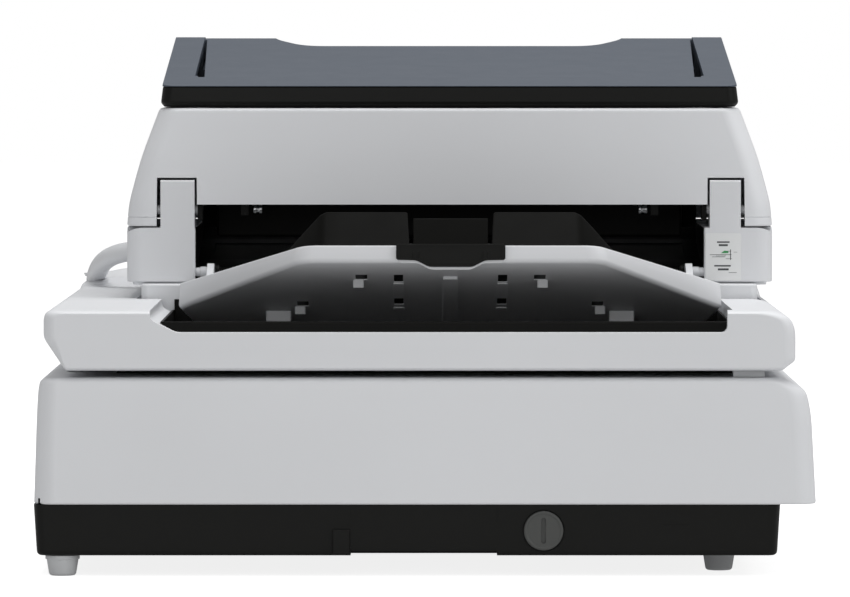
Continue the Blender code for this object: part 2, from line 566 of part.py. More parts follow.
piece(
    "feeder_cover", shell, "white", origin=PIVOT,
    cuts=[
        hollow,
        block(ARMS[0][0] + 5, ARMS[1][1] - 5, FEED_NEAR - 9, FEED_NEAR + 60, SEAM - 9, EXIT_TOP),
        block(FEED_X - INNER + 6, FEED_X + INNER - 6, FEED_FAR - 30, FEED_FAR + 9, SEAM - 9, SEAM + 22),
    ] + arm_slots,
    adds=cheeks + hangers + tabs + ears + ear_pins,
    bores=[
        rod(PIVOT_Y, PIVOT_Z, 3.4, "x", x0 - 6, x1 + 6, 12) for x0, x1 in ARMS
    ] + [
        rod(PICK[0], PICK[1], 3.4, "x", FEED_X - 60, FEED_X + 60, 12),
        rod(ROD_Y, ROD_Z, 2.2 + GAP, "x", FEED_X - 145, FEED_X + 145, 12),
    ],
)
piece("exit_rod", turned(ROD_Y, ROD_Z, [(FEED_X + s * 142, 2.2) for s in (-1, 1)], 12), "steel",
      origin=PIVOT, smooth=True)
piece(
    "sensor_upper", block(FEED_X - 158, FEED_X + 158, S0 - 2, S1 - 1, 209, 246), "black", origin=PIVOT,
    bevel=1.5,
    adds=[
        block(FEED_X + s * 120 - 8, FEED_X + s * 120 + 8, S0 + 8, S1 - 12, 240, SHELL_TOP - WALL - GAP)
        for s in (-1, 1)
    ],
)
PICK_STEPS = [(-54, 3.0), (-38, 3.0), (-38, 12.0), (-12, 12.0), (-12, 3.0)]
PICK_STEPS += [(-x, radius) for x, radius in PICK_STEPS[::-1]]
piece("pick_roller", turned(PICK[0], PICK[1], [(FEED_X + x, radius) for x, radius in PICK_STEPS]), "rubber",
      (FEED_X, PICK[0], PICK[1]), smooth=True)

# ---------------------------------------------------------------- paper chute, folded shut over the feeder
LID_NEAR, LID_FAR = FEED_NEAR + 5.5, FEED_FAR - 4
LID_LOW = SHELL_TOP + 0.9
CREST = LID_FAR - 16
RISE = (HEIGHT - SHELL_TOP - LID_LIP - 0.5) / (CREST - LID_NEAR)
EAR = (FEED_X, EAR_Y, EAR_Z)


def lid_z(y, drop=0.0):
    """Height of the chute's sloping back, which is on top while it's shut."""
    return HEIGHT - (CREST - y) * RISE - drop


lid = [
    (LID_NEAR, LID_LOW), (EAR_Y - 1, LID_LOW), (LID_FAR, EAR_Z), (LID_FAR, HEIGHT - 8), (CREST, HEIGHT),
    (LID_NEAR + 4, lid_z(LID_NEAR + 4)), (LID_NEAR, lid_z(LID_NEAR, 2.5)),
]
CAVE = (LID_NEAR + 5, LID_FAR - 38)
cave = [
    (CAVE[0], LID_LOW - 9), (CAVE[1], LID_LOW - 9), (CAVE[1], lid_z(CAVE[1], 5)), (CAVE[0], lid_z(CAVE[0], 5)),
]
inset = [
    (LID_NEAR + 38, lid_z(LID_NEAR + 38, 1.6)), (LID_FAR + 9, lid_z(LID_FAR + 9, 1.6)),
    (LID_FAR + 9, HEIGHT + 30), (LID_NEAR + 38, HEIGHT + 20),
]
grip = [
    (FEED_X - 119, LID_FAR + 9), (FEED_X - 119, LID_FAR - 0.1), (FEED_X - 100.5, LID_FAR - 30),
    (FEED_X + 100.5, LID_FAR - 30), (FEED_X + 119, LID_FAR - 0.1), (FEED_X + 119, LID_FAR + 9),
]
piece(
    "paper_chute", prism(lid, "x", FEED_X - LID_HALF, FEED_X + LID_HALF), "slate", origin=EAR, bevel=1.6,
    cuts=[
        prism(cave, "x", FEED_X - LID_HALF + 5, FEED_X + LID_HALF - 5),
        prism(inset, "x", FEED_X - LID_HALF + 21.5, FEED_X + LID_HALF - 21.5),
        prism(grip, "z", EAR_Z + 16, HEIGHT + 9),
    ] + [
        block(FEED_X + s * 150 - 6.2, FEED_X + s * 150 + 6.2, EAR_Y - 12, LID_FAR + 9, LID_LOW - 9, EAR_Z + 14)
        for s in (-1, 1)
    ] + [rod(EAR_Y, EAR_Z, 2.9, "x", FEED_X + s * 150 - 9.6, FEED_X + s * 150 + 9.6, 12) for s in (-1, 1)],
)
BED_Z = SHELL_TOP + 14
GUIDE_OUT, GUIDE_IN, GUIDE_Y = 150.0, 45.0, CAVE[1] - 62
piece(
    "chute_bed",
    block(FEED_X - LID_HALF + 5.3, FEED_X + LID_HALF - 5.3, CAVE[1] - 122, CAVE[1] - GAP, BED_Z, BED_Z + 2.5),
    "black", origin=EAR,
    cuts=[
        block(*sorted((FEED_X + s * (GUIDE_IN - 6), FEED_X + s * (GUIDE_OUT + 6))), GUIDE_Y - 4, GUIDE_Y + 4,
              BED_Z - 5, BED_Z + 9) for s in (-1, 1)
    ],
)
for side, s in (("left", -1), ("right", 1)):
    x = FEED_X + s * GUIDE_OUT
    piece(
        f"side_guide_{side}", block(x - 2, x + 2, CAVE[1] - 118, CAVE[1] - 6, LID_LOW + 1.6, BED_Z - GAP),
        "black", origin=(x, GUIDE_Y, BED_Z),
        adds=[
            block(x - 4, x + 4, GUIDE_Y - 3.5, GUIDE_Y + 3.5, BED_Z - 4, BED_Z + 4),
            block(x - 8, x + 8, GUIDE_Y - 7, GUIDE_Y + 7, BED_Z + 2.5 + GAP, BED_Z + 5.5),
        ],
    )

# ---------------------------------------------------------------- stacker
TRAY_NEAR, TRAY_WIDE, TRAY_FAR = FEED_NEAR - 201, FEED_NEAR - 86, FEED_NEAR - 18
SLOPE = 34 / 115
HINGE_S = (FEED_X, STACK_Y, STACK_Z)


def tray_z(y):
    """Underside of the stacker, which rises towards its near end."""
    return BLOCK_LOW + 19 - SLOPE * (y - TRAY_NEAR)


def rim_z(y):
    return BLOCK_LOW + 30 - 28 / 115 * (y - TRAY_NEAR)


def sloped(outline, low, high):
    """A solid over a plan outline, from a share of the rim's height to another."""
    shape = prism(outline, "z", low, high)
    return moved(shape, lambda x, y, h: (x + FEED_X, y, tray_z(y) + h * (rim_z(y) - tray_z(y))))


def over_tray(outline, low, high):
    """A solid over a plan outline, between two heights above the stacker's underside."""
    return moved(prism(outline, "z", low, high), lambda x, y, h: (x + FEED_X, y, tray_z(y) + h))


def hexagon(inset):
    near, far = TRAY_NEAR + inset, TRAY_FAR - inset
    return [
        (-96.6 + inset * 0.6, near), (96.6 - inset * 0.6, near), (177.8 - inset * 1.3, TRAY_WIDE),
        (163 - inset, far), (-163 + inset, far), (-177.8 + inset * 1.3, TRAY_WIDE),
    ]


def ear_plate(s):
    outline = [
        (TRAY_FAR - 34, tray_z(TRAY_FAR - 34) + 1), (TRAY_FAR - 1, tray_z(TRAY_FAR - 1) + 1),
        (STACK_Y - 9, STACK_Z - 18), (STACK_Y - 9, STACK_Z - 5.5), (STACK_Y + 8, STACK_Z - 5.5),
        (STACK_Y + 8, STACK_Z + 5), (STACK_Y - 10, STACK_Z + 6), (TRAY_FAR - 34, STACK_Z - 10),
    ]
    x0, x1 = sorted((FEED_X + s * 157.3, FEED_X + s * 161.8))
    return prism(outline, "x", x0, x1)


PULL_HALF = 35.0
piece(
    "stacker_tray", sloped(hexagon(0), 0, 1), "white", origin=HINGE_S,
    cuts=[
        over_tray(hexagon(3.5), 2.5, 60),
        over_tray([(-PULL_HALF, TRAY_NEAR - 9), (PULL_HALF, TRAY_NEAR - 9), (PULL_HALF, TRAY_NEAR + 6),
                   (-PULL_HALF, TRAY_NEAR + 6)], 2.5, 40),
    ],
    adds=[ear_plate(-1), ear_plate(1)] + [
        rod(STACK_Y, STACK_Z, 3, "x", *sorted((FEED_X + s * 158, FEED_X + s * (INNER + 2.6))), 12)
        for s in (-1, 1)
    ],
)


def wing(s):
    """One half of the raised black rest: low at the near rim, highest a little behind it, then falling away."""
    near, crest, far = TRAY_NEAR + 4.2, TRAY_NEAR + 26, TRAY_NEAR + 100
    rings = []
    for x, high in ((26.5, 1.0), (66, 1.0), (88, 0.35)):
        top = tray_z(crest) + 9 + 28.5 * high
        rings.append([
            (FEED_X + s * x, near, tray_z(near) + 7), (FEED_X + s * x, far, tray_z(far) + 7),
            (FEED_X + s * x, far, tray_z(far) + 9), (FEED_X + s * x, crest + 6, top),
            (FEED_X + s * x, crest, top), (FEED_X + s * x, near, tray_z(near) + 9),
        ])
    return loft(*rings)


for side, s in (("left", -1), ("right", 1)):
    piece(f"stacker_wing_{side}", wing(s), "black", origin=HINGE_S)
pull = [(-PULL_HALF + 0.5, TRAY_NEAR - 3), (PULL_HALF - 0.5, TRAY_NEAR - 3), (PULL_HALF - 0.5, TRAY_NEAR + 5),
        (PULL_HALF - 0.5, TRAY_NEAR + 84), (-PULL_HALF + 0.5, TRAY_NEAR + 84)]
handle = [(-PULL_HALF + 0.5, TRAY_NEAR - 3), (PULL_HALF - 0.5, TRAY_NEAR - 3), (PULL_HALF - 0.5, TRAY_NEAR + 3),
          (-PULL_HALF + 0.5, TRAY_NEAR + 3)]
piece("stacker_pull", over_tray(pull, 2.9, 5.6), "black", origin=(FEED_X, TRAY_NEAR, tray_z(TRAY_NEAR)),
      adds=[over_tray(handle, 2.0 + 1.2, 13)])
STOP_Y = TRAY_NEAR + 24
stop = [(STOP_Y - 13, tray_z(STOP_Y - 13) + 9.5), (STOP_Y + 3, tray_z(STOP_Y + 3) + 9.5),
        (STOP_Y + 5, tray_z(STOP_Y) + 33), (STOP_Y, tray_z(STOP_Y) + 34)]
piece("stacker_stop", prism(stop, "x", FEED_X - 24, FEED_X + 24), "black",
      origin=(FEED_X, STOP_Y, tray_z(STOP_Y) + 12), bevel=1.0)
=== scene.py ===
"""A3 document scanner: the visible mouldings, finishes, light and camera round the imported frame.
Shapes are in millimetres, X to the operator's side, Y to the feeding end, Z up; the meshes are in metres."""

import math

import bmesh
import bpy
import numpy as np
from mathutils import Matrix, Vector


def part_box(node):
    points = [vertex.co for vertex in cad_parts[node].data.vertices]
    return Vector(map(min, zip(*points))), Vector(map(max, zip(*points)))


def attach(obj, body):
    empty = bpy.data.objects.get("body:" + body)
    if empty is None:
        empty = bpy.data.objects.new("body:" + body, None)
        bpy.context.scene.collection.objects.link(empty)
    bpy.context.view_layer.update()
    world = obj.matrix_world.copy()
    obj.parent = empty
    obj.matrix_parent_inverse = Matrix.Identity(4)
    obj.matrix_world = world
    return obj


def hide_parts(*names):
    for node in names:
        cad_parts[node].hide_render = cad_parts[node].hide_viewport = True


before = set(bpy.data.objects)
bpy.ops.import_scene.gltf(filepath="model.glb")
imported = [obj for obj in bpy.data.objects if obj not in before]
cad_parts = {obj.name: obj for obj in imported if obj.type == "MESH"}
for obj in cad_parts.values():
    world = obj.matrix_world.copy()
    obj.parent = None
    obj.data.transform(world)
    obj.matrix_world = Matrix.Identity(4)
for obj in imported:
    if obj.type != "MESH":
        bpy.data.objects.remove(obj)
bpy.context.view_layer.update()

MM = 0.001


def edges_of(node):
    """The node's lowest and highest corner in millimetres: x0, x1, y0, y1, z0, z1."""
    low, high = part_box(node)
    return tuple(c / MM for pair in zip(low, high) for c in pair)


_, BASE_X1, _, BASE_Y1, BASE_Z0, BASE_Z1 = edges_of("base_cover")
PAN_X0, PAN_X1, _, _, PAN_Z0, PAN_Z1 = edges_of("base_pan")
COVER_X0, COVER_X1, COVER_Y0, COVER_Y1, COVER_Z0, CROWN_Z = edges_of("cover_shell")
FEED_X0, FEED_X1, FEED_Y0, FEED_Y1, SEAM, _ = edges_of("feeder_cover")
CHUTE_X0, CHUTE_X1, CHUTE_Y0, CHUTE_Y1, CHUTE_Z0, CHUTE_Z1 = edges_of("paper_chute")
FEED_X = (FEED_X0 + FEED_X1) / 2
FEED_HALF = (FEED_X1 - FEED_X0) / 2
FEED_NEAR = FEED_Y0 + 0.5
FIT = 0.3  # clearance round what fits into a moulding
COVER_TOP = CROWN_Z - 6
RECESS_Z = COVER_TOP - 28
POCKET_Z = COVER_TOP - 12
TROUGH = (FEED_X - 186, FEED_X + 180, COVER_Y0 + 11, FEED_NEAR - 6)  # left, right, near and far edge
ARMS = ((FEED_X - 193.2, FEED_X - 170.5), (FEED_X + 173.8, FEED_X + 194.5))  # each arm's left and right face
SWING_Y, SWING_Z = FEED_NEAR + 9, 229  # axis of the feeder's cover
BLOCK_LOW = 181.0  # underside of the side blocks
EXIT_TOP = 232.7  # upper edge of the paper exit
LUG_X, LUG_Y, LUG_Z = 150, 100, 304  # axis and side places of the chute's lugs, from the feeder's middle


# ---------------------------------------------------------------- outlines and surfaces
def rounded_loop(points, cuts, n=6):
    """Closed outline, or many: each corner turns as a quadratic curve between its two cuts."""
    p = np.asarray(points, float)
    cuts = np.broadcast_to(np.asarray(cuts, float), p.shape[-2])

    def reach(v):
        return v * np.minimum(cuts / np.linalg.norm(v, axis=-1), 0.49)[..., None]

    start, end = p + reach(np.roll(p, 1, -2) - p), p + reach(np.roll(p, -1, -2) - p)
    t = np.linspace(0, 1, n)[:, None]
    start, corner, end = (c[..., None, :] for c in (start, p, end))
    curve = (1 - t) ** 2 * start + 2 * t * (1 - t) * corner + t**2 * end
    return curve.reshape(*p.shape[:-2], -1, p.shape[-1])


def bent_line(points, cuts, n=6):
    """Open line whose inner corners turn as quadratic curves, as in rounded_loop; its ends stay."""
    p = np.asarray(points, float)
    cuts = np.concatenate([[0], np.broadcast_to(np.asarray(cuts, float), len(p) - 2), [0]])
    curve = rounded_loop(p, cuts, n)
    return np.vstack([p[:1], curve[n : len(curve) - n], p[-1:]])


def stacked(levels, n=9):
    """Rounded rectangles up Z. A level holds height, left, right, near and far edge, and corner radius."""
    z, x0, x1, y0, y1, r = (c[:, None] for c in np.asarray(levels, float).T)
    turn = np.pi / 2 * (np.arange(4)[:, None] + np.linspace(0, 1, n))
    r = np.maximum(r, 0.05)
    cx = np.hstack([x1 - r, x0 + r, x0 + r, x1 - r])[..., None]
    cy = np.hstack([y1 - r, y1 - r, y0 + r, y0 + r])[..., None]
    x, y = cx + r[..., None] * np.cos(turn), cy + r[..., None] * np.sin(turn)
    return np.stack([x, y, np.broadcast_to(z[..., None], x.shape)], -1).reshape(len(z), -1, 3)


def along(grid, axis):
    """The grid with its own Z laid along an axis."""
    return grid[..., {"x": [2, 0, 1], "y": [0, 2, 1], "z": [0, 1, 2]}[axis]]


def slab(x0, x1, y0, y1, z0, z1, r=2.0, edge=0.8, axis="z", n=6):
    """Block along an axis with corner radius r, its end edges turned as quarter circles of radius edge."""
    t = np.linspace(0, np.pi / 2, 5)
    inset = np.r_[edge * (1 - np.sin(t)), edge * (1 - np.cos(t))]
    z = np.r_[z0 + edge * (1 - np.cos(t)), z1 - edge * (1 - np.sin(t))]
    levels = np.stack([z, x0 + inset, x1 - inset, y0 + inset, y1 - inset, r - inset * 0.8], -1)
    return along(stacked(levels, n), axis)


def prism(outline, lo, hi, axis="z"):
    """Outline carried straight along an axis."""
    outline = np.asarray(outline, float)
    rows = [np.column_stack([outline, np.full(len(outline), at)]) for at in (lo, hi)]
    return along(np.stack(rows), axis)


def box(x0, x1, y0, y1, z0, z1):
    return prism([(x0, y0), (x1, y0), (x1, y1), (x0, y1)], z0, z1)


def turned(profile, centre, axis="z", n=48):
    """Profile of (place along the axis, radius) carried round it."""
    place, radius = (c[:, None] for c in np.asarray(profile, float).T)
    turn = 2 * np.pi * np.arange(n) / n
    grid = np.stack([radius * np.cos(turn), radius * np.sin(turn), place + 0 * turn], -1)
    return along(grid, axis) + np.asarray(centre, float)


def rod(centre, r, lo, hi, axis, n=32):
    return turned([(lo, r), (hi, r)], centre, axis, n)


def tube(path, r, n=24):
    """Circle of radius r carried along a path, square to it."""
    path = np.asarray(path, float)
    t = np.gradient(path, axis=0)
    t /= np.linalg.norm(t, axis=1)[:, None]
    side = np.cross(t, (0.0, 0.0, 1.0))
    side /= np.linalg.norm(side, axis=1)[:, None]
    up = np.cross(side, t)
    turn = (2 * np.pi * np.arange(n) / n)[:, None]
    return path[:, None] + r * (np.cos(turn) * side[:, None] + np.sin(turn) * up[:, None])


# ---------------------------------------------------------------- pieces
def skin(name, grid):
    """Closed mesh over rows of points: each row closes on itself, and the first and last are capped."""
    rows, columns = grid.shape[:2]
    index = np.arange(rows * columns).reshape(rows, columns)
    turn = np.roll(index, -1, 1)
    quads = np.stack([index[:-1], turn[:-1], turn[1:], index[1:]], -1).reshape(-1, 4)
    mesh = bpy.data.meshes.new(name)
    faces = quads.tolist() + [index[0][::-1].tolist(), index[-1].tolist()]
    mesh.from_pydata((grid.reshape(-1, 3) * MM).tolist(), [], faces)
    work = bmesh.new()
    work.from_mesh(mesh)
    bmesh.ops.remove_doubles(work, verts=work.verts, dist=2e-6)
    bmesh.ops.recalc_face_normals(work, faces=work.faces)
    work.to_mesh(mesh)
    work.free()
    piece = bpy.data.objects.new(name, mesh)
    bpy.context.scene.collection.objects.link(piece)
    return piece


def work_on(piece, operation, shapes):
    """Boolean with each shape in turn."""
    for i, shape in enumerate(shapes):
        tool = skin(f"{piece.name}_tool_{len(piece.modifiers)}", shape)
        tool.hide_render = tool.hide_viewport = True
        modifier = piece.modifiers.new(f"{operation}_{i}", "BOOLEAN")
        modifier.operation, modifier.object, modifier.solver = operation, tool, "EXACT"
    return piece


def carve(piece, *shapes):
    return work_on(piece, "DIFFERENCE", shapes)


def weld(piece, *shapes):
    return work_on(piece, "UNION", shapes)


def soften(piece, width, segments=3):
    """Rounds every edge sharper than 35 degrees."""
    modifier = piece.modifiers.new("soft edges", "BEVEL")
    modifier.width, modifier.segments, modifier.limit_method = width * MM, segments, "ANGLE"
    modifier.angle_limit = math.radians(35)
    modifier.miter_outer = "MITER_ARC"
    return piece


def settled(piece):
    """Turns the modifiers' result into the piece's own mesh and removes their tools."""
    tools = [m.object for m in piece.modifiers if m.type == "BOOLEAN"]
    graph = bpy.context.evaluated_depsgraph_get()
    graph.update()
    made = bpy.data.meshes.new_from_object(piece.evaluated_get(graph), depsgraph=graph)
    piece.modifiers.clear()
    piece.data = made
    for tool in tools:
        bpy.data.objects.remove(tool, do_unlink=True)
    return piece


def placed(piece, finish, slot, body, *nodes):
    """Smooth shading with broad faces kept flat, then finish, body and the nodes it stands for; slot is not
    used.
    """
    if piece.modifiers:
        settled(piece)
    piece.data.polygons.foreach_set("use_smooth", [True] * len(piece.data.polygons))
    piece.data.set_sharp_from_angle(angle=math.radians(38))
    modifier = piece.modifiers.new("flat faces", "WEIGHTED_NORMAL")
    modifier.keep_sharp = True
    settled(piece)
    piece.data.materials.clear()
    piece.data.materials.append(finish)
    if nodes:
        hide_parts(*nodes)
    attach(piece, body)
    return piece


# ---------------------------------------------------------------- finishes
def moulded(name, colour, roughness, grain=0.12, tone=0.03, metallic=0.0, coat=0.0, specular=0.5):
    """Moulded surface: fine eroded grain as bump, and slow changes of tone and gloss over the part."""
    material = bpy.data.materials.new(name)
    material.use_nodes = True
    nodes, links = material.node_tree.nodes, material.node_tree.links
    shader = nodes["Principled BSDF"]
    shader.inputs["Metallic"].default_value = metallic
    shader.inputs["Coat Weight"].default_value = coat
    shader.inputs["Specular IOR Level"].default_value = specular
    place = nodes.new("ShaderNodeTexCoord")

    def noise(scale, detail):
        node = nodes.new("ShaderNodeTexNoise")
        node.inputs["Scale"].default_value, node.inputs["Detail"].default_value = scale, detail
        links.new(place.outputs["Object"], node.inputs["Vector"])
        return node.outputs["Fac"]

    def ramp(source, low, high):
        node = nodes.new("ShaderNodeValToRGB")
        node.color_ramp.elements[0].position, node.color_ramp.elements[1].position = 0.3, 0.7
        node.color_ramp.elements[0].color, node.color_ramp.elements[1].color = low, high
        links.new(source, node.inputs["Fac"])
        return node.outputs["Color"]

    slow = noise(9.0, 3.0)
    shades = [tuple(min(1.0, c * k) for c in colour) + (1.0,) for k in (1 - tone, 1 + tone)]
    links.new(ramp(slow, *shades), shader.inputs["Base Color"])
    gloss = [(min(1.0, roughness * k),) * 3 + (1.0,) for k in (0.97, 1.04)]
    links.new(ramp(noise(60.0, 4.0), *gloss), shader.inputs["Roughness"])
    bump = nodes.new("ShaderNodeBump")
    bump.inputs["Strength"].default_value, bump.inputs["Distance"].default_value = grain, 0.0002
    links.new(noise(1900.0, 2.0), bump.inputs["Height"])
    links.new(bump.outputs["Normal"], shader.inputs["Normal"])
    return material


def brushed(name, colour, roughness):
    """Metal with fine lines along X: noise stretched a hundredfold, read as bump."""
    material = moulded(name, colour, roughness, grain=0.05, tone=0.04, metallic=1.0)
    nodes, links = material.node_tree.nodes, material.node_tree.links
    place, stretch, lines = (nodes.new(f"ShaderNode{kind}") for kind in ("TexCoord", "Mapping", "TexNoise"))
    stretch.inputs["Scale"].default_value = (12.0, 1200.0, 1200.0)
    links.new(place.outputs["Object"], stretch.inputs["Vector"])
    links.new(stretch.outputs["Vector"], lines.inputs["Vector"])
    links.new(lines.outputs["Fac"], nodes["Bump"].inputs["Height"])
    return material


def clear_glass():
    """Plain float glass, slightly green."""
    material = bpy.data.materials.new("bed glass")
    material.use_nodes = True
    shader = material.node_tree.nodes["Principled BSDF"]
    shader.inputs["Base Color"].default_value = (0.86, 0.93, 0.91, 1)
    shader.inputs["Roughness"].default_value = 0.02
    shader.inputs["IOR"].default_value = 1.52
    shader.inputs["Transmission Weight"].default_value = 0.9
    return material


def foamed():
    """White sheet backing on soft foam: open cells as bump."""
    material = moulded("white backing", (0.83, 0.83, 0.82), 0.75, grain=0.5, tone=0.02)
    cells = material.node_tree.nodes.new("ShaderNodeTexVoronoi")
    cells.inputs["Scale"].default_value = 900.0
    nodes, links = material.node_tree.nodes, material.node_tree.links
    links.new(nodes["Texture Coordinate"].outputs["Object"], cells.inputs["Vector"])
    links.new(cells.outputs["Distance"], nodes["Bump"].inputs["Height"])
    return material


WHITE = moulded("white moulding", (0.72, 0.73, 0.75), 0.44, grain=0.14, tone=0.012)
SLATE = moulded("slate moulding", (0.07, 0.085, 0.11), 0.42, grain=0.1, tone=0.01, specular=0.3)
BLACK = moulded("black moulding", (0.0062, 0.0063, 0.0056), 0.42, grain=0.16, tone=0.06, specular=0.15)
DARK = moulded("dark inner moulding", (0.0045, 0.0045, 0.004), 0.5, grain=0.2, tone=0.1, specular=0.1)
CHARCOAL = moulded("charcoal moulding", (0.0045, 0.0045, 0.004), 0.52, grain=0.2, tone=0.06, specular=0.03)
GREY = moulded("grey knob moulding", (0.07, 0.072, 0.069), 0.42, grain=0.15, tone=0.03, specular=0.3)
FOOT = moulded("pale foot moulding", (0.56, 0.57, 0.58), 0.55, grain=0.2, tone=0.03)
RUBBER = moulded("roller rubber", (0.02, 0.02, 0.021), 0.85, grain=0.7, tone=0.15)
STEEL = brushed("plated steel", (0.58, 0.59, 0.6), 0.3)
DARK_STEEL = brushed("blackened steel", (0.1, 0.1, 0.098), 0.35)
BOARD = moulded("circuit board", (0.015, 0.11, 0.045), 0.45, grain=0.3, tone=0.2)
LABEL = moulded("label sheet", (0.78, 0.79, 0.79), 0.35, grain=0.05, tone=0.01)
INK = moulded("label ink", (0.05, 0.055, 0.06), 0.5, grain=0.05, tone=0.05)
GREEN_INK = moulded("label green ink", (0.05, 0.3, 0.1), 0.5, grain=0.05, tone=0.05)
BLUE = moulded("blue key moulding", (0.03, 0.1, 0.3), 0.35, grain=0.1, tone=0.05)
DISPLAY = moulded("display window", (0.008, 0.01, 0.014), 0.08, grain=0.0, tone=0.05, coat=1.0)
LIT = moulded("lamp diffuser", (0.85, 0.85, 0.82), 0.5, grain=0.05, tone=0.01)
GLASS = clear_glass()
BACKING = foamed()


# ---------------------------------------------------------------- base
def base_shell():
    """Levels up Z: near-vertical walls, a slope on the operator's side, a turned edge to the flat top."""
    L2, top = BASE_Y1, BASE_Z1
    sides = [  # height, left, right, deep, corner radius
        (BASE_Z0, 249.3, 249.3, L2 - 0.7, 13.4), (BASE_Z0 + 0.9, 250, 250, L2, 14),
        (104, 248.1, 246.9, L2 - 1.1, 13.2), (119, 247.2, 243.6, L2 - 1.8, 13),
        (top - 2, 246.0, 232, L2 - 2.6, 12), (top - 0.2, 242.2, 226.4, L2 - 5.6, 10),
        (top, 236, 220, L2 - 11, 8),
    ]
    sides = bent_line(sides, (0.5, 9, 5, 4, 3), 7)
    z, left, right, deep, r = sides.T
    shell = skin("base_shell", stacked(np.stack([z, -left, right, -deep, deep, r], -1), 10))
    bed = edges_of("bed_frame")
    px0, _, py0, py1, pz0, pz1 = edges_of("panel_bezel")
    keys = [edges_of(f"button_{name}") for name in ("power", "scan", "stop", "function")]
    carve(
        shell, box(-247, 229, -L2 + 4, L2 - 4, BASE_Z0 - 9, BASE_Z0 + 3.7),
        slab(-243, 238, -L2 + 6, L2 - 6, BASE_Z0 + 2.7, top - 14, 8, 1),
        slab(-241, 227, -L2 + 6, L2 - 6, top - 16, top - 3.5, 8, 1),
        box(bed[0] - FIT, bed[1] + FIT, bed[2] - FIT, bed[3] + FIT, top - 9, top + 9),
        slab(py0 - FIT, py1 + FIT, pz0 - FIT, pz1 + FIT, px0 - FIT, 270, 3, 0.1, "x"),
        *[box(BASE_X1 - 15, BASE_X1 + 9, k[2] + 1.2, k[3] - 1.2, k[4] + 1.2, k[5] - 1.2) for k in keys],
    )
    placed(soften(shell, 0.5, 2), WHITE, "white_shell", "base", "base_cover")


def pan():
    """Black lower tray: straight walls with a turned foot edge, its openings cut as the frame has them."""
    x0, x1, y1, z0, z1 = PAN_X0, PAN_X1, 350.5, PAN_Z0, PAN_Z1
    levels = [  # height, left, right, deep, corner radius
        (z0, x0 + 4, x1 - 4, y1 - 3.2, 5), (z0 + 1.2, x0 + 1.9, x1 - 1.9, y1 - 1, 6.4), (z1, x0, x1, y1, 7),
    ]
    levels = bent_line(levels, 2.5, 6)
    z, left, right, deep, r = levels.T
    shell = skin("lower_tray", stacked(np.stack([z, left, right, -deep, deep, r], -1)))
    lock = edges_of("transport_lock")
    kx, kz = (lock[0] + lock[1]) / 2, (lock[4] + lock[5]) / 2
    openings = ((190, 14.3, 21.7, 42.3), (245, 8.9, 22, 42), (130, 7.3, 25.7, 38.3))  # inlet, switch, data
    carve(
        shell, slab(x0 + 5, x1 - 5, -y1 + 5, y1 - 5, z0 + 5, z1 + 9, 4, 1),
        box(-47.5, 46, -y1 - 9, -y1 + 24, z0 - 3, z0 + 3.2),
        rod((kx, 0, kz), 13.4, -y1 - 5, -y1 + 1.8, "y", 64), rod((kx, 0, kz), 5.3, -y1 - 5, -y1 + 9, "y"),
        *[box(-255, -241, y - half, y + half, low, high) for y, half, low, high in openings],
        box(x1 - 1.2, x1 + 4, -336, -322, 33, 35.5), box(x1 - 1.2, x1 + 4, -336, -322, 25, 27.5),
        *[box(x - 0.35, x + 0.35, -y1 - 3, -y1 + 0.5, z0 + 4.2, z1 - 3) for x in (-47.6, 46.1)],
        prism([(150, -y1 - 5), (170, -y1 - 5), (170, -y1 + 0.6), (150, -y1 + 0.6)], 33, 33.6),
    )
    weld(shell, slab(-59, -48, -y1 - 1.4, -y1 + 3, z0 + 0.8, 30, 0.8, 0.8))
    placed(soften(shell, 0.5, 2), BLACK, "black_plastic", "base", "base_pan")


def lock_knob():
    """Round knob: a raised rim, a shallow dish inside it, and a coin slot."""
    lock = edges_of("transport_lock")
    x, z, face = (lock[0] + lock[1]) / 2, (lock[4] + lock[5]) / 2, lock[2]
    r = (lock[1] - lock[0]) / 2
    profile = [
        (face + 0.45, 0.01), (face + 0.45, r - 2.1), (face, r - 1.4), (face, r - 0.7), (face + 0.5, r),
        (face + 3.2, r), (face + 3.2, 5), (lock[3], 5), (lock[3], 0.01),
    ]
    knob = skin("lock_knob_face", turned(bent_line(profile, 0.35, 4), (x, 0, z), "y", 72))
    carve(knob, slab(x - 1.5, x + 1.5, z - 8.2, z + 8.2, face - 5, face + 1.9, 1.4, 0.1, "y"))
    placed(soften(knob, 0.3, 2), GREY, "grey_plastic", "lock_knob", "transport_lock")


def feet():
    """Four tapered feet with a rounded tread and a fine step under the collar."""
    for place in ("near_left", "near_right", "far_left", "far_right"):
        x0, x1, y0, y1, _, z1 = edges_of(f"foot_{place}")
        centre = ((x0 + x1) / 2, (y0 + y1) / 2, 0)
        line = [(0, 0.01), (0, 7.6), (1.2, 8.7), (10.4, 10.2), (10.6, 11), (z1, 11), (z1, 0.01)]
        profile = bent_line(line, (0.8, 0.8, 0.3, 0.2, 0.3), 4)
        foot = skin(f"foot_{place}_turned", turned(profile, centre))
        placed(foot, FOOT, "foot_plastic", "base", f"foot_{place}")


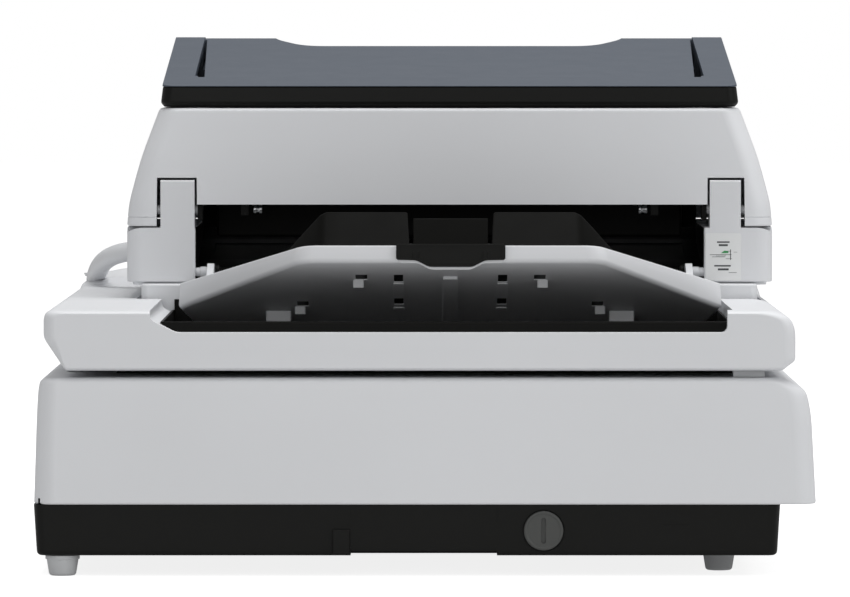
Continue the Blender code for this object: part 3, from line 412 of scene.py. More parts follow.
# ---------------------------------------------------------------- document cover
def cover():
    """A section across X and Z, with chamfered sides, carried along Y and raised over the feeding half."""
    xl, xr, low = COVER_X0, COVER_X1, COVER_Z0
    t = np.linspace(0, np.pi / 2, 6)
    ramp = np.linspace(0, 1, 13)
    y = np.r_[COVER_Y0 + 8 * (1 - np.cos(t)), 116 + 26 * ramp, COVER_Y1 - 8 * (1 - np.sin(t))]
    drop = np.r_[2.5 * (1 - np.sin(t)), 0 * ramp, 3 * (1 - np.cos(t))]
    inset = np.r_[8 * (1 - np.sin(t)), 0 * ramp, 6 * (1 - np.cos(t))]
    rise = np.r_[0 * t, ramp**2 * (3 - 2 * ramp), 0 * t + 1]
    top = COVER_TOP + 6 * rise
    flat, one = inset * 0, inset * 0 + 1
    x = np.stack([
        one * (xl + 14), one * (xr - 8.5), xr - inset, xr - inset, xr - 2.5 - inset, xr - 8 - inset,
        xr - 16 - inset, xl + 5 + 19 * rise + inset, xl + 1.4 + rise + inset, xl + inset, xl + inset,
    ], -1)
    z = np.stack([
        low + drop, low + drop, low + 6.5 + drop, top - 13, top - 6, top - 2 - drop, top - drop,
        top - drop, top - 1.4 - 2.6 * rise - drop, top - 5 - 4 * rise, low + 21 + flat,
    ], -1)
    section = rounded_loop(np.stack([x, z], -1), (2, 2, 2, 4, 3.5, 3.5, 4, 2, 1.6, 2, 3), 5)
    grid = np.concatenate([section, np.broadcast_to(y[:, None, None], (*section.shape[:2], 1))], -1)
    shell = skin("cover_moulding", along(grid, "y"))
    notch = rounded_loop([
        (FEED_X - 192, 220), (FEED_X - 192, COVER_TOP - 5.6), (FEED_X - 175.5, COVER_TOP - 14.1),
        (FEED_X + 174, COVER_TOP - 14.1), (FEED_X + 176.4, COVER_TOP - 11.6), (FEED_X + 176.4, 220),
    ], (0.1, 3, 3, 1.5, 1.5, 0.1))
    carve(shell, prism(notch, COVER_Y0 - 10, FEED_NEAR - 9, "y"))
    soften(shell, 1.9, 4)
    lx0, lx1, ly0, _, _, _ = edges_of("trough_liner")
    lugs = [edges_of(f"hinge_{place}") for place in ("near", "far")]
    carve(
        shell, box(xl + 31, xr - 15, COVER_Y0 + 7, COVER_Y1 - 7, low - 20, low + 3.3),
        box(xl + 39, xr - 24, 122, COVER_Y1 - 13, low - 20, COVER_TOP - 6),
        slab(lx0 - FIT, lx1 + FIT, ly0 - FIT, FEED_NEAR + 10, RECESS_Z, COVER_TOP + 30, 2, 0.1),
        slab(*TROUGH, RECESS_Z, COVER_TOP + 30, 2.5, 0.1),
        slab(FEED_X - 209, FEED_X + 208.5, FEED_NEAR - 9, FEED_Y1 + 8, POCKET_Z, COVER_TOP + 30, 5, 0.1),
        *[box(xl - 20, -216, (k[2] + k[3]) / 2 - 14, (k[2] + k[3]) / 2 + 14, low - 20, 156) for k in lugs],
        *[rod((-226, 0, 143), 3.4, k[2] - 2, k[3] + 2, "y") for k in lugs],
    )
    placed(soften(shell, 0.5, 2), WHITE, "white_shell", "document_cover", "cover_shell")


def trough():
    """Dark tray sunk in the cover: wide before the feeder, narrower where it runs on beneath it; its far
    wall, raised almost to the cover's top, is a dark plate that paints shade.
    """
    x0, x1, y0, y1, _, z1 = edges_of("trough_liner")
    wide = np.array(TROUGH) + (FIT, -FIT, FIT, -FIT)
    tray = skin("trough_tray", slab(*wide, RECESS_Z + FIT, COVER_TOP - 7.5, 2.3, 0.5))
    # The last box raises the tray's far wall almost to the cover's top: a dark plate that paints the shade in
    # front of the feeder plinth's foot.
    weld(tray, slab(x0, x1, y0 + 30, y1, RECESS_Z + FIT, z1, 1.5, 0.3),
         box(wide[0] + 2, wide[1] - 2, wide[3] - 1.8, wide[3] - 0.1, RECESS_Z + 1, COVER_TOP - 0.4))
    carve(tray, slab(*(wide + (1.8, -1.8, 1.8, -1.9)), RECESS_Z + 1.9, COVER_TOP + 9, 1.5, 0.1),
          slab(x0 + 1.8, x1 - 1.8, y0 + 20, y1 - 1.8, RECESS_Z + 1.9, 230, 1.5, 0.1))
    placed(tray, DARK, "black_plastic", "document_cover", "trough_liner")


def backing():
    """Foam sheet under the cover, with turned edges."""
    x0, x1, y0, y1, z0, z1 = edges_of("document_pad")
    pad = skin("document_backing", slab(x0, x1, y0, y1, z0, z1, 3, 1.2))
    placed(pad, BACKING, "foam", "document_cover", "document_pad")


# ---------------------------------------------------------------- feeder
def feeder_blocks():
    """Plinth in the cover's pocket, the two side blocks and the arms that rise into the feeder's cover."""
    near, far, low, high = FEED_NEAR, FEED_Y1, BLOCK_LOW, SEAM - 0.6
    inner = FEED_HALF - 46
    liner = edges_of("trough_liner")
    base = skin("feeder_plinth",
                slab(FEED_X - 206, FEED_X + 205.5, near - 6, far + 5, POCKET_Z + FIT, 179.9, 5, 1.5))
    carve(
        base,
        box(liner[0] - 3.3, liner[1] + 3.3, near - 20, near + 3, POCKET_Z - 9, 190),
        *[box(x - 5, x + 5, near - 9, near + 22, 173, 185) for x in (FEED_X - 159.5, FEED_X + 159.5)],
    )
    placed(soften(base, 0.5, 2), WHITE, "white_shell", "document_cover", "feeder_base")
    arm = rounded_loop([
        (near + 0.02, 200), (near + 0.02, 249), (near + 18.5, 249), (near + 26.6, 241.5), (near + 26.6, 200),
    ], (0.1, 1.4, 5, 5, 0.1), 5)
    for side, s, (a0, a1) in (("left", -1, ARMS[0]), ("right", 1, ARMS[1])):
        inside, outer = FEED_X + s * inner, FEED_X + s * FEED_HALF
        x0, x1 = sorted((inside, outer))
        corners = [(inside, near), (outer, near), (outer, far), (inside, far)]
        outline = rounded_loop(corners, (1.2, 12, 12, 1.2), 9)
        block = soften(skin(f"feeder_block_{side}", prism(outline, low, high)), 1.2, 3)
        carve(block, rod((0, SWING_Y, SWING_Z), 14.8, x0 - 9, x1 + 9, "x", 72))  # room for the cover's swing
        weld(
            block,
            slab(x0 + 4, x1 - 4, near + 4, far - 4, low - 2, low + 3, 5, 0.4),
            prism(arm, a0, a1, "x"),
            rod((0, SWING_Y, SWING_Z), 3, a0 - 5, a1 + 5, "x", 24),
        )
        carve(block, rod((0, near + 6, 187.5), 3.4, inside - 3.4, inside + 3.4, "x", 24))
        placed(soften(block, 0.4, 2), WHITE, "white_shell", "document_cover", "feeder_base")
        left, right = sorted((inside - s * 0.4, inside + s * 0.25))
        lining = skin(f"feeder_lining_{side}",
                      slab(left, right, near + 5, far - 4, low, SEAM - 1.2, 0.2, 0.05))
        placed(lining, DARK, "black_plastic", "document_cover", "feeder_base")


def feeder_shell():
    """Tapering cover over the paper path: rounded rectangles up Z with a fine line round the foot, hollowed,
    with the exit and the arms' slots cut; dark ribs inside hold its rods."""
    near, far, full = FEED_NEAR - 0.5, FEED_Y1, FEED_HALF
    lower = bent_line([  # height, half width, near, far, radius
        (SEAM, full - 0.6, near + 0.3, far - 0.3, 14.6), (SEAM + 0.8, full, near, far, 15),
        (223.9, full - 0.35, near + 0.1, far - 0.1, 15),
    ], 0.4, 5)
    line = [(height, full - 0.75, near + 0.5, far - 0.5, 14.7) for height in (224.0, 224.4)]
    upper = bent_line([
        (224.5, full - 0.4, near + 0.1, far - 0.1, 15), (234, full - 1.3, near + 0.4, far - 0.4, 15),
        (262.5, full - 8.8, near + 2.2, far - 1.6, 14.5), (295.4, full - 21.2, near + 5, far - 3, 14),
        (297, full - 22.6, near + 6.6, far - 4.6, 12.4), (297, full - 27, near + 11, far - 9, 8),
    ], (8, 13, 1.0, 0.8), 7)
    z, half, y0, y1, r = np.vstack([lower, line, upper]).T
    shell = skin("feeder_hood", stacked(np.stack([z, FEED_X - half, FEED_X + half, y0, y1, r], -1), 11))
    hollow = [  # height, half width, near, far
        (SEAM - 9, full - 1.4, near + 3, far - 3), (294, full - 24.5, near + 8, far - 7),
    ]
    slots = [
        [(x0 - o0, 250.6), (x1 + o1, 250.6), (x1 + o1 + 0.4, SEAM - 9), (x0 - o0 - 0.4, SEAM - 9)]
        for (x0, x1), (o0, o1) in zip(ARMS, ((2.4, 1.5), (1.5, 2.4)))
    ]
    lugs = (FEED_X - LUG_X, FEED_X + LUG_X)
    pick = edges_of("pick_roller")
    py, pz = (pick[2] + pick[3]) / 2, (pick[4] + pick[5]) / 2
    exit_y = FEED_NEAR + 14
    carve(
        shell,
        stacked([(height, FEED_X - wide, FEED_X + wide, y0, y1, 13) for height, wide, y0, y1 in hollow], 11),
        slab(ARMS[0][1] - 4, ARMS[1][0] + 4, SEAM - 20, EXIT_TOP, near - 8.5, near + 60.5, 2.5, 0.1, "y"),
        box(FEED_X - 164, FEED_X + 164, far - 30, far + 9, SEAM - 9, SEAM + 22),
        *[prism(slot, FEED_NEAR - 9, FEED_NEAR + 30, "y") for slot in slots],
    )
    weld(
        shell, *[slab(x - 5, x + 5, LUG_Y - 6, LUG_Y + 4.5, 295, 309, 2, 0.5) for x in lugs],
        *[rod((0, LUG_Y, LUG_Z), 2.5, x - 9, x + 9, "x", 24) for x in lugs],
    )
    placed(soften(shell, 0.55, 2), WHITE, "white_shell", "feeder_lid", "feeder_cover")
    cheeks = [
        (x0, x1) for (a0, a1), (o0, o1) in zip(ARMS, ((2.9, 2), (2, 2.9)))
        for x0, x1 in ((a0 - 5.4, a0 - o0), (a1 + o1, a1 + 5.4))
    ]
    ribs = [box(x0, x1, near + 3.4, FEED_NEAR + 18, SEAM + 4, 257) for x0, x1 in cheeks]
    for rib_x, wide, y0, y1, z0, z1 in (
        (48, 3.5, py - 9, py + 9, 233, 294.5), (137, 2.5, near + 3.4, exit_y + 5, 225.5, 246.7),
        (164, 6, 20, 26, SEAM - 4, 294.5),
    ):
        ribs += [box(FEED_X + s * rib_x - wide, FEED_X + s * rib_x + wide, y0, y1, z0, z1) for s in (-1, 1)]
    frame_ribs = weld(skin("feeder_ribs", ribs[0]), *ribs[1:])
    carve(
        frame_ribs, *[rod((0, SWING_Y, SWING_Z), 3.4, x0 - 6, x1 + 6, "x", 24) for x0, x1 in ARMS],
        rod((0, py, pz), 3.4, FEED_X - 60, FEED_X + 60, "x", 24),
        rod((0, exit_y, 229.3), 2.5, FEED_X - 145, FEED_X + 145, "x", 24),
    )
    placed(frame_ribs, DARK, "black_plastic", "feeder_lid", "feeder_cover")


def feeder_cable():
    """Round lead on a cubic curve from the feeder's side, out and down into the raised half of the cover."""
    a, d = np.array((-199.9, 74, 196.0)), np.array((-232.5, 150, 174.0))
    b, c = a + (-16, 10, -1), d + (3.5, -38, 16)
    t = np.linspace(0, 1, 49)[:, None]
    path = (1 - t) ** 3 * a + 3 * t * (1 - t) ** 2 * b + 3 * t**2 * (1 - t) * c + t**3 * d
    lead = skin("feeder_lead", tube(path, 6.8))
    placed(lead, WHITE, "white_shell", "document_cover", "feeder_cable")
    for name, centre, axis, lo, hi in (("side", a, "x", -2.4, 0.1), ("top", d + (0, 0, 3), "z", -0.9, 1.6)):
        profile = bent_line([(lo, 0.01), (lo, 7.6), (hi, 8.6), (hi, 0.01)], 0.8, 4)
        collar = skin(f"lead_collar_{name}", turned(profile, centre, axis))
        placed(collar, WHITE, "white_shell", "document_cover", "feeder_cable")


# ---------------------------------------------------------------- paper chute
CREST = CHUTE_Y1 - 16
RISE = (CHUTE_Z1 - 312.0) / (CREST - CHUTE_Y0)  # slope of the chute's back
SPLIT_Z = 311.4


def back_z(y, drop=0.0):
    """Height of the chute's sloping back."""
    return CHUTE_Z1 - (CREST - y) * RISE - drop


def narrowing(grid):
    """The chute's sides lean in by 1 part in 15 of their height."""
    grid = grid.copy()
    lean = 1 - (grid[..., 2] - CHUTE_Z0) / 15 / 193.5
    grid[..., 0] = FEED_X + (grid[..., 0] - FEED_X) * lean
    return grid


def chute():
    """Black lower tray and slate back, split level; the back has a sunk panel, two wedge gaps and a grip."""
    near, far, half = CHUTE_Y0, CHUTE_Y1, (CHUTE_X1 - CHUTE_X0) / 2
    left, right = FEED_X - half, FEED_X + half

    def cave(end, low):  # room under the back, open downwards
        outline = [(near + 5, low), (end, low), (end, back_z(end, 5)), (near + 5, back_z(near + 5, 5))]
        return prism(outline, left + 5, right - 5, "x")

    lugs = (FEED_X - LUG_X, FEED_X + LUG_X)
    ear = [box(x - 6.2, x + 6.2, LUG_Y - 12, far + 9, CHUTE_Z0 - 9, 318) for x in lugs]
    ear += [rod((0, LUG_Y, LUG_Z), 2.9, x - 9.6, x + 9.6, "x", 24) for x in lugs]
    plan = [  # height, inset, corner radius
        (CHUTE_Z0, 2.6, 7), (CHUTE_Z0 + 2.6, 0, 8), (SPLIT_Z - 0.5, 0.6, 8), (SPLIT_Z, 1.2, 7.6),
    ]
    plan = bent_line(plan, (1.6, 0.4), 6)
    lip = skin("chute_lip", narrowing(stacked(
        [(z, left + i, right - i, near + i, far - i, r) for z, i, r in plan], 10)))
    heel = [(far - 5.2, CHUTE_Z0 - 1), (far + 1, CHUTE_Z0 - 1), (far + 1, 304.2)]
    carve(lip, cave(far - 38, CHUTE_Z0 - 9), prism(heel, FEED_X - 200, FEED_X + 200, "x"), *ear)
    placed(soften(lip, 0.5, 2), BLACK, "black_plastic", "chute", "paper_chute")

    back = skin("chute_back", narrowing(stacked(
        [(z, left + 0.3, right - 0.3, near + 0.2, far, 8) for z in (SPLIT_Z + 0.02, CHUTE_Z1 + 12)], 12)))
    above = [
        (near - 30, back_z(near - 30)), (CREST - 6, back_z(CREST - 6)), (CREST, CHUTE_Z1 - 0.3),
        (CREST + 6, CHUTE_Z1 - 1.4), (far - 2.5, CHUTE_Z1 - 5.5), (far + 4, CHUTE_Z1 - 14),
        (far + 30, CHUTE_Z1 - 60), (far + 60, CHUTE_Z1 + 60), (near - 30, CHUTE_Z1 + 60),
    ]
    carve(back, prism(above, FEED_X - 260, FEED_X + 260, "x"))
    soften(back, 1.3, 3)
    panel = [
        (near + 36, back_z(near + 36, 0.15)), (near + 44, back_z(near + 44, 1.7)),
        (far + 9, back_z(far + 9, 1.7)), (far + 9, CHUTE_Z1 + 40), (near + 36, CHUTE_Z1 + 40),
    ]
    grip = rounded_loop([
        (-160, far + 30), (-122, far + 30), (-122, far - 14), (-100, far - 46),
        (100, far - 46), (122, far - 14), (122, far + 30), (160, far + 30),
    ], (0.1, 0.1, 14, 14, 14, 14, 0.1, 0.1), 9) + (FEED_X, 0)
    gaps = [prism(rounded_loop([
        (FEED_X + s * 171.5, near + 41), (FEED_X + s * 165.2, near + 41),
        (FEED_X + s * 168.2, CREST - 3), (FEED_X + s * 169.8, CREST - 3),
    ], (2, 2, 0.1, 0.1)), 300, CHUTE_Z1 + 20) for s in (-1, 1)]
    for gap in gaps:
        gap[0, :, 2] = back_z(gap[0, :, 1], 17.0)
    carve(
        back, cave(far - 54, SPLIT_Z - 9), prism(panel, FEED_X - 169.5, FEED_X + 169.5, "x"),
        prism(grip[6:-6], 318, CHUTE_Z1 + 9), *gaps, *ear,
    )
    placed(soften(back, 0.5, 2), SLATE, "slate_shell", "chute", "paper_chute")


# ---------------------------------------------------------------- stacker
_, _, TRAY_NEAR, _, _, TRAY_TOP = edges_of("stacker_tray")
TRAY_WIDE, TRAY_FAR = TRAY_NEAR + 115, TRAY_NEAR + 183
PIN_Y, PIN_Z = -121, 187.5  # axis of the stacker's hinge pins
HOOKS = ((57.6, 30), (96.4, 96))  # side place and near edge of the holes above the hooks
PANES = ((33.6, 30, 18), (33.6, 88.5, 15))  # side place, near edge and depth of the plain slots
UNDER = 34 / 115  # slope of the stacker's underside
EDGE = 28 / 115  # slope of its rim


def under_z(y):
    return TRAY_TOP - 11 - UNDER * (y - TRAY_NEAR)


def rim_z(y):
    return TRAY_TOP - EDGE * (y - TRAY_NEAR)


def tray_outline(inset, lean=0.0):
    """Six-sided plan with turned corners; lean draws in its near edge and, less, its wide corners."""
    near, far, wide = TRAY_NEAR + inset, TRAY_FAR - inset, TRAY_WIDE
    half, side = 96.6 - inset * 0.6 - lean * 0.8, 178.2 - inset * 1.1 - lean * 0.25
    back = 163 - inset
    points = [(-half, near), (half, near), (side, wide), (back, far), (-back, far), (-side, wide)]
    return rounded_loop(points, (9, 9, 1.2, 3, 3, 1.2), 8) + (FEED_X, 0)


def stacker_tray():
    """Shallow dish: its plan shrinks to the middle for the floors and rises with its slopes to the rim."""
    middle = np.array((FEED_X, (TRAY_NEAR + TRAY_FAR) / 2))
    shrink = np.array([0.02, 0.3, 0.6, 0.8, 0.9])

    def floor(outline, lift):
        rows = middle + (outline - middle) * shrink[:, None, None]
        return np.concatenate([rows, (under_z(rows[..., 1]) + lift)[..., None]], -1)

    def wall(outline, share, lift=0.0):
        z = under_z(outline[:, 1]) * (1 - share) + rim_z(outline[:, 1]) * share + lift
        return np.column_stack([outline, z])[None]

    t = np.linspace(0, np.pi / 2, 6)
    rows = [floor(tray_outline(0), 0)]
    for a in t:  # turned lower edge
        rows.append(wall(tray_outline(3 * (1 - np.sin(a))), 0, 3 * (1 - np.cos(a))))
    for share in (0.6, 0.75, 0.9):
        rows.append(wall(tray_outline(0, 5.5 * (share - 0.4)), share))
    for a in t[::2]:  # turned rim
        rows.append(wall(tray_outline(0.8 * (1 - np.cos(a)), 3.2), 1, -0.8 * (1 - np.sin(a))))
    for a in t[::2]:
        rows.append(wall(tray_outline(2.8 + 0.8 * np.sin(a), 3.2), 1, -0.8 * (1 - np.cos(a))))
    rows.append(wall(tray_outline(4.2, 3.2), 0, 4.0))
    rows.append(floor(tray_outline(4.2, 3.2), 2.5)[::-1])
    tray = skin("stacker_dish", np.concatenate(rows))
    soften(tray, 0.4, 2)

    def hole(x, y, wide, deep):
        place, low = FEED_X + x, under_z(TRAY_NEAR + y + deep / 2)
        return box(place - wide / 2, place + wide / 2, TRAY_NEAR + y, TRAY_NEAR + y + deep, low - 12, low + 9)

    notch_z = under_z(TRAY_NEAR) + 2.2
    cuts = [box(FEED_X - 35, FEED_X + 35, TRAY_NEAR - 9, TRAY_NEAR + 6.5, notch_z, TRAY_TOP + 9)]
    for s in (-1, 1):
        cuts += [hole(s * x, y, 7.5, 12) for x, y in HOOKS]
        cuts += [hole(s * x, y, 6, deep) for x, y, deep in PANES]
    carve(tray, *cuts)
    ears = []
    for s in (-1, 1):
        x0, x1 = sorted((FEED_X + s * 157.3, FEED_X + s * 161.8))
        y0, y1 = TRAY_FAR - 34, TRAY_FAR - 1
        outline = [
            (y0, under_z(y0) + 1), (y1, under_z(y1) + 1), (-130, 169.5), (-130, 182),
            (-113, 182), (-113, 192.5), (-131, 193.5), (y0, 177.5),
        ]
        ears += [prism(rounded_loop(outline, 1.2, 3), x0, x1, "x"),
                 rod((0, PIN_Y, PIN_Z), 3, *sorted((FEED_X + s * 158, FEED_X + s * 172.6)), "x", 24)]
    scoop = rounded_loop([
        (-33, 201.6), (-22, 201.3), (-14, 197.1), (14, 197.1), (22, 201.3), (33, 201.6),
        (33, 200), (21, 199.6), (13, 195.4), (-13, 195.4), (-21, 199.6), (-33, 200),
    ], (0.3, 2, 2, 2, 2, 0.3, 0.3, 2, 2, 2, 2, 0.3), 4)
    weld(tray, *ears, prism(scoop + (FEED_X, 0), TRAY_NEAR - 0.4, TRAY_NEAR + 22, "y"))
    placed(tray, WHITE, "white_shell", "stacker", "stacker_tray")


def on_underside(x0, x1, y0, y1, out, into=1.0):
    """Plate that follows the stacker's underside and stands out of it downwards."""
    grid = slab(x0, x1, y0, y1, -out, into, 1.5, 0.4).copy()
    grid[..., 2] += under_z(grid[..., 1])
    grid[..., 0] += FEED_X
    return grid


def stacker_details():
    """Lining over the slots, their dark bottoms, and the hooks, pads, rib and frames on the underside."""
    def fixed(piece, finish=WHITE, slot="white_shell"):
        placed(piece, finish, slot, "stacker", "stacker_tray")

    lining = np.concatenate([tray_outline(9, 3.2)[None]] * 2)
    z = under_z(lining[..., 1]) + np.array([2.7, 3.6])[:, None]
    fixed(skin("stacker_lining", np.concatenate([lining, z[..., None]], -1)), DARK, "black_plastic")
    for i, (s, x, hole_y) in enumerate([(s, x, y) for s in (-1, 1) for x, y in HOOKS]):
        x, y = FEED_X + s * (x + 1.9), TRAY_NEAR + hole_y + 12.4
        z = under_z(y)
        hook = slab(x - 3.5, x + 3.5, y, y + 3.2, z - 5.2, z + 0.4, 1.0, 0.5)
        fixed(skin(f"stacker_hook_{i}", hook))
    for side, s in (("left", -1), ("right", 1)):
        x, y = FEED_X + s * 112.7, TRAY_NEAR + 120
        z = under_z(y)
        fixed(skin(f"stacker_pad_{side}", slab(x - 8.3, x + 8.3, y, y + 12, z - 7, z + 0.5, 1, 0.8)))
        x = s * 33.6
        for end, y, deep in (("near", TRAY_NEAR + 50, 34), ("far", TRAY_NEAR + 110, 8)):
            fixed(skin(f"stacker_bar_{side}_{end}", on_underside(x - 3.6, x + 3.6, y, y + deep, 0.7)))
        bottoms = [(x, y, 12, 3.95) for x, y in HOOKS] + [(x, y, deep, 3.2) for x, y, deep in PANES]
        for i, (x, y, deep, wide) in enumerate(bottoms):
            x, y = s * x, TRAY_NEAR + y
            plug = on_underside(x - wide, x + wide, y - 0.2, y + deep + 0.2, -0.4, 2.2)
            fixed(skin(f"stacker_slot_{side}_{i}", plug), DARK, "black_plastic")
    fixed(skin("stacker_rib", on_underside(-5, 4.6, TRAY_NEAR + 34, TRAY_NEAR + 160, 1.9)))


def wing(s):
    """Rest for the sheets, rows across X of a section in Y and Z: a leaning near face, a crest, a long fall.
    Outwards the crest sinks with a power of the way out, and the near edge draws back with another."""
    u = np.r_[26.5, np.linspace(27.3, 80, 6), np.linspace(84, 120, 16)]
    fall = np.clip((u - 82) / 38, 0, 1)
    high = (1 - fall) ** 0.95 * np.where(u < 27, 0.97, 1.0)
    near = TRAY_NEAR + 4.6 + 44 * fall**1.1
    crest, far = near + 22 * high + 1.5, np.full_like(u, TRAY_NEAR + 100)
    low, foot = under_z(near) + 3.2, under_z(far) + 3.2
    top = under_z(crest) + 3.2 + 36.6 * high
    knee = low + 6 * high
    y = np.stack([
        near, near, (near + crest) / 2, crest - 0.4, crest + 1.2, crest + 6, (crest + far) / 2, far, far,
    ], -1)
    z = np.stack([
        low, knee + 0.3, (knee + top) / 2, top - 0.4, top, top - 0.6 * high,
        top * 0.45 + 0.55 * (foot + 2), foot + 2, foot,
    ], -1)
    lean = (2.3 * high * (u < 60))[:, None]  # the inner edge leans outwards as it rises
    x = FEED_X + s * (u[:, None] - lean * (1 - (z - z.min(-1, keepdims=True)) / 36))
    return np.stack([x, y, z], -1)


def stacker_rests():
    """Both wings, the flap between them, the pull in the near edge, and the pins' bosses and rings."""
    for side, s in (("left", -1), ("right", 1)):
        rest = skin(f"stacker_rest_{side}", wing(s))
        placed(soften(rest, 0.7, 3), CHARCOAL, "black_plastic", "stacker", f"stacker_wing_{side}")
    stop_x0, stop_x1, _, _, _, stop_z1 = edges_of("stacker_stop")
    y = TRAY_NEAR + 24
    outline = rounded_loop([
        (y - 13, under_z(y - 13) + 9.6), (y + 3, under_z(y + 3) + 9.6),
        (y + 5, stop_z1 - 0.6), (y + 0.6, stop_z1 + 1.2),
    ], (1, 1, 1.6, 1.2), 4)
    flap = skin("stacker_flap", prism(outline, stop_x0, stop_x1, "x"))
    placed(soften(flap, 0.6, 3), CHARCOAL, "black_plastic", "stop", "stacker_stop")
    x0, x1, y0, y1, _, z1 = edges_of("stacker_pull")
    middle, half, top = (x0 + x1) / 2, (x1 - x0) / 2, z1 - 2.1
    face = rounded_loop([
        (-half, top), (half, top), (half, 201.7), (22, 201.5),
        (14, 197.3), (-14, 197.3), (-22, 201.5), (-half, 201.7),
    ], (0.8, 0.8, 0.8, 2, 3, 3, 2, 0.8), 5)
    sunk = rounded_loop([
        (-half + 1.6, top - 1.2), (half - 1.6, top - 1.2), (half - 1.6, 203), (21, 202.8),
        (13.4, 198.6), (-13.4, 198.6), (-21, 202.8), (-half + 1.6, 203),
    ], 1, 4)
    pull = skin("stacker_handle", prism(face + (middle, 0), y0, y0 + 5.4, "y"))
    carve(pull, prism(sunk + (middle, 0), y0 - 2, y0 + 0.6, "y"))
    slide = slab(middle - half, middle + half, y0 + 1, y1, 2.9, 5.6, 1.5, 0.5)
    slide[..., 2] += under_z(slide[..., 1])
    ribs = [slab(x - 0.6, x + 0.6, y0 + 0.1, y0 + 3, 202.6, 207, 0.4, 0.3)
            for x in (middle - 24, middle - 20.5, middle + 20.5, middle + 24)]
    weld(pull, slide, *ribs)
    placed(soften(pull, 0.35, 2), BLACK, "black_plastic", "pull", "stacker_pull")
    for side, s in (("left", -1), ("right", 1)):
        for name, x, wide, r, edge, y, z, finish, slot in (
            ("boss", FEED_X + s * 164.6, 2.4, 3.6, 0.8, PIN_Y, PIN_Z, WHITE, "white_shell"),
            ("ring", FEED_X + s * 155.2, 1.4, 4.6, 0.6, PIN_Y - 3, PIN_Z + 0.5, DARK, "black_plastic"),
        ):
            profile = bent_line([(x - wide, 0.01), (x - wide, r), (x + wide, r), (x + wide, 0.01)], edge, 4)
            piece = skin(f"stacker_{name}_{side}", turned(profile, (0, y, z), "x", 32))
            placed(piece, finish, slot, "stacker", "stacker_tray")


# ---------------------------------------------------------------- small parts
def position_label():
    """Sheet on the right block with two ruled captions and a line figure of a lever."""
    x0, x1, y0, y1, z0, z1 = edges_of("position_label")
    sheet = skin("guide_label", slab(x0, x1, z0, z1, y0 + 0.15, y1, 1.2, 0.1, "y"))
    placed(sheet, LABEL, "printed_label", "document_cover", "position_label")
    cx = (x0 + x1) / 2
    bars = [  # left, right, low, high, part of the label's height
        (-4.2, 4.2, 0.80, 0.83), (-3.0, 3.0, 0.73, 0.77), (-6.0, 5.0, 0.30, 0.33), (-3.6, 3.6, 0.22, 0.26),
        (-9.0, 5.5, 0.545, 0.555), (-7.5, 1.0, 0.50, 0.508), (4.6, 5.1, 0.44, 0.66), (1.6, 5.8, 0.46, 0.468),
        (2.2, 5.0, 0.62, 0.628), (-5.0, 2.0, 0.52, 0.526), (3.6, 9.0, 0.17, 0.178), (7.0, 9.4, 0.60, 0.606),
    ]
    tall = z1 - z0
    for i, (a, b, low, high) in enumerate(bars):
        bar = slab(cx + a, cx + b, z0 + low * tall, z0 + high * tall, y0 + 0.05, y0 + 0.3, 0.1, 0.02, "y")
        placed(skin(f"label_mark_{i}", bar), INK, "printed_label", "document_cover", "position_label")
    lever = np.array([(-1.5, 18.4), (3.4, 18.5), (3.4, 19.9), (0.6, 20.1)]) + (cx, z0)
    patch = prism(lever, y0 + 0.05, y0 + 0.3, "y")
    placed(skin("label_mark_lever", patch), GREEN_INK, "printed_label", "document_cover", "position_label")


def exit_fittings():
    """Bright clips on the rod over the paper exit, each a pair of small collars."""
    _, _, y0, y1, z0, z1 = edges_of("exit_rod")
    centre = (0, (y0 + y1) / 2, (z0 + z1) / 2)
    for side, at in (("left", -112.0), ("right", 146.0)):
        profile = np.array([
            (-2.8, 0.01), (-2.8, 2.9), (-1, 2.9), (-0.6, 2.3), (0.6, 2.3), (1, 2.9), (2.8, 2.9), (2.8, 0.01),
        ]) + (at, 0)
        clip = skin(f"exit_clip_{side}", turned(bent_line(profile, 0.3, 3), centre, "x", 28))
        placed(clip, STEEL, "steel", "feeder_lid", "exit_rod")


def keys():
    """Square keys with softly turned faces, in their openings beside the display."""
    for name, finish, slot in (("power", GREY, "grey_plastic"), ("scan", BLUE, "key_plastic"),
                               ("stop", GREY, "grey_plastic"), ("function", GREY, "grey_plastic")):
        x0, x1, y0, y1, z0, z1 = edges_of(f"button_{name}")
        cap = slab(y0 + 1.6, y1 - 1.6, z0 + 1.6, z1 - 1.6, x0 + 1, x1, 2.6, 1.3, "x")
        key = weld(skin(f"key_{name}_cap", cap), slab(y0, y1, z0, z1, x0, x0 + 6.2, 1.0, 0.4, "x"))
        placed(key, finish, slot, f"key_{name}", f"button_{name}")


def hinge_covers():
    """Steel leaves with turned knuckles on each rear hinge pin."""
    for place in ("near", "far"):
        _, _, y0, y1, z0, _ = edges_of(f"hinge_{place}")
        y = (y0 + y1) / 2
        corners = [(-233, z0), (-219, z0), (-220, 147), (-223, 149.5), (-229, 149.5), (-232, 147)]
        outline = rounded_loop(corners, (0.5, 0.5, 2, 2, 2, 2), 5)
        leaf = skin(f"hinge_leaf_{place}", prism(outline, y - 11, y + 11, "y"))
        weld(leaf, rod((-226, 0, 143), 3, y0, y1, "y"))
        placed(soften(leaf, 0.5, 2), STEEL, "steel", "base", f"hinge_{place}")


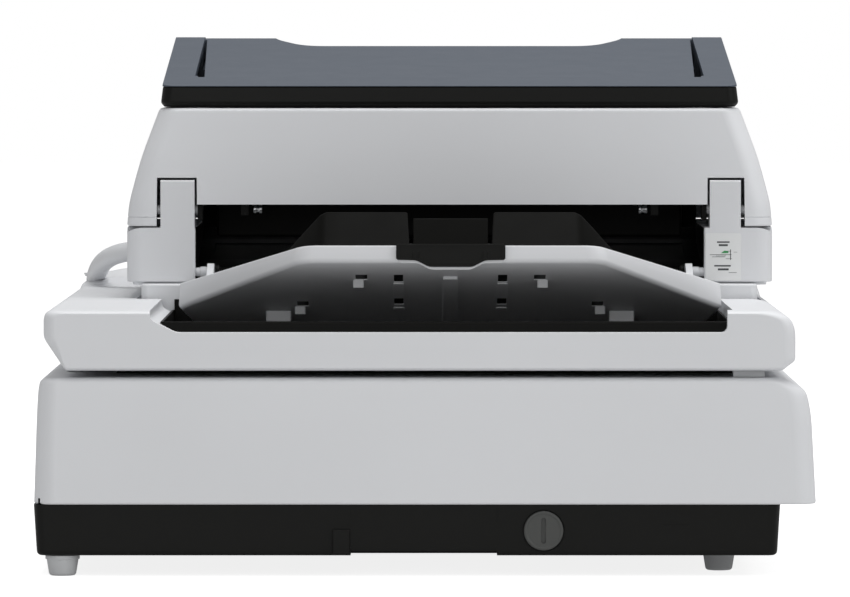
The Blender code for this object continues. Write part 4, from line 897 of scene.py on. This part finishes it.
def frame_finishes():
    """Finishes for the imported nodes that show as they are."""
    finishes = {
        DARK: "feeder_frame sensor_lower sensor_upper chute_bed side_guide_left side_guide_right "
              "scan_carriage",
        BLACK: "bed_frame panel_bezel power_inlet power_switch",
        GREY: "drive_pulley idler_pulley",
        RUBBER: "carriage_belt feed_roller brake_roller eject_roller pick_roller",
        STEEL: "guide_rod_left guide_rod_right rail_bracket_near rail_bracket_far carriage_motor "
               "power_supply data_port",
        DARK_STEEL: "exit_rod",
        LIT: "carriage_lamp",
        BOARD: "main_board",
        GLASS: "bed_glass",
        DISPLAY: "panel_display",
        WHITE: "cover_plate",
        FOOT: "cover_rest_near cover_rest_far",
    }
    for finish, names in finishes.items():
        for name in names.split():
            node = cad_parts[name]
            node.data.materials.clear()
            node.data.materials.append(finish)


# ---------------------------------------------------------------- light, floor and camera
def area_light(name, place, target, size, power):
    light = bpy.data.lights.new(name, "AREA")
    light.shape, light.size, light.energy = "DISK", size, power
    lamp = bpy.data.objects.new(name, light)
    bpy.context.scene.collection.objects.link(lamp)
    lamp.location = place
    aim = np.asarray(target, float) - np.asarray(place, float)
    lamp.rotation_euler = (math.atan2(math.hypot(aim[0], aim[1]), -aim[2]), 0, math.atan2(-aim[0], aim[1]))
    return lamp


def studio():
    """Pale floor, white surroundings, and broad lights overhead, from the operator's side and from nearby."""
    scene = bpy.context.scene
    scene.view_settings.view_transform = "Standard"
    world = bpy.data.worlds.new("studio")
    scene.world = world
    world.use_nodes = True
    nodes, links = world.node_tree.nodes, world.node_tree.links
    glow, seen, path, mix = (nodes.new(f"ShaderNode{kind}") for kind in
                             ("Background", "Background", "LightPath", "MixShader"))
    glow.inputs["Color"].default_value, glow.inputs["Strength"].default_value = (1, 1, 1, 1), 0.42
    seen.inputs["Color"].default_value, seen.inputs["Strength"].default_value = (1, 1, 1, 1), 1.0
    links.new(path.outputs["Is Camera Ray"], mix.inputs["Fac"])
    links.new(glow.outputs["Background"], mix.inputs[1])
    links.new(seen.outputs["Background"], mix.inputs[2])
    links.new(mix.outputs["Shader"], nodes["World Output"].inputs["Surface"])
    floor = skin("floor", box(-9000, 9000, -9000, 16000, -20, 0))
    material = bpy.data.materials.new("floor")
    material.use_nodes = True
    shader = material.node_tree.nodes["Principled BSDF"]
    shader.inputs["Base Color"].default_value = (0.55, 0.55, 0.55, 1)
    shader.inputs["Roughness"].default_value = 0.9
    shader.inputs["Specular IOR Level"].default_value = 0.0
    shader.inputs["Emission Color"].default_value = (1, 1, 1, 1)
    nodes, links = material.node_tree.nodes, material.node_tree.links
    seen, glow = nodes.new("ShaderNodeLightPath"), nodes.new("ShaderNodeMath")
    glow.operation = "MULTIPLY_ADD"
    glow.inputs[1].default_value, glow.inputs[2].default_value = 0.72, 0.13
    links.new(seen.outputs["Is Camera Ray"], glow.inputs[0])
    links.new(glow.outputs["Value"], shader.inputs["Emission Strength"])
    floor.data.materials.append(material)
    area_light("overhead", (0.3, -0.2, 2.4), (0, 0, 0.2), 2.0, 42)
    area_light("operator side", (2.4, -1.6, 1.5), (0, 0, 0.2), 1.6, 15)
    area_light("near", (-0.6, -3.6, 0.95), (0, -0.2, 0.2), 1.7, 11)


def camera():
    """Long lens level with the chute, looking slightly down at the paper-exit end."""
    lens = bpy.data.cameras.new("camera")
    lens.lens, lens.sensor_width, lens.clip_end = 306.0, 36.0, 100.0
    view = bpy.data.objects.new("camera", lens)
    bpy.context.scene.collection.objects.link(view)
    view.location = (0.0, -4.953, 0.338)
    view.rotation_euler = (math.radians(90 - 1.995), 0.0, 0.0)
    bpy.context.scene.camera = view


camera()
base_shell()
pan()
lock_knob()
feet()
cover()
trough()
backing()
feeder_blocks()
feeder_shell()
feeder_cable()
chute()
stacker_tray()
stacker_details()
stacker_rests()
position_label()
exit_fittings()
keys()
hinge_covers()
frame_finishes()
studio()
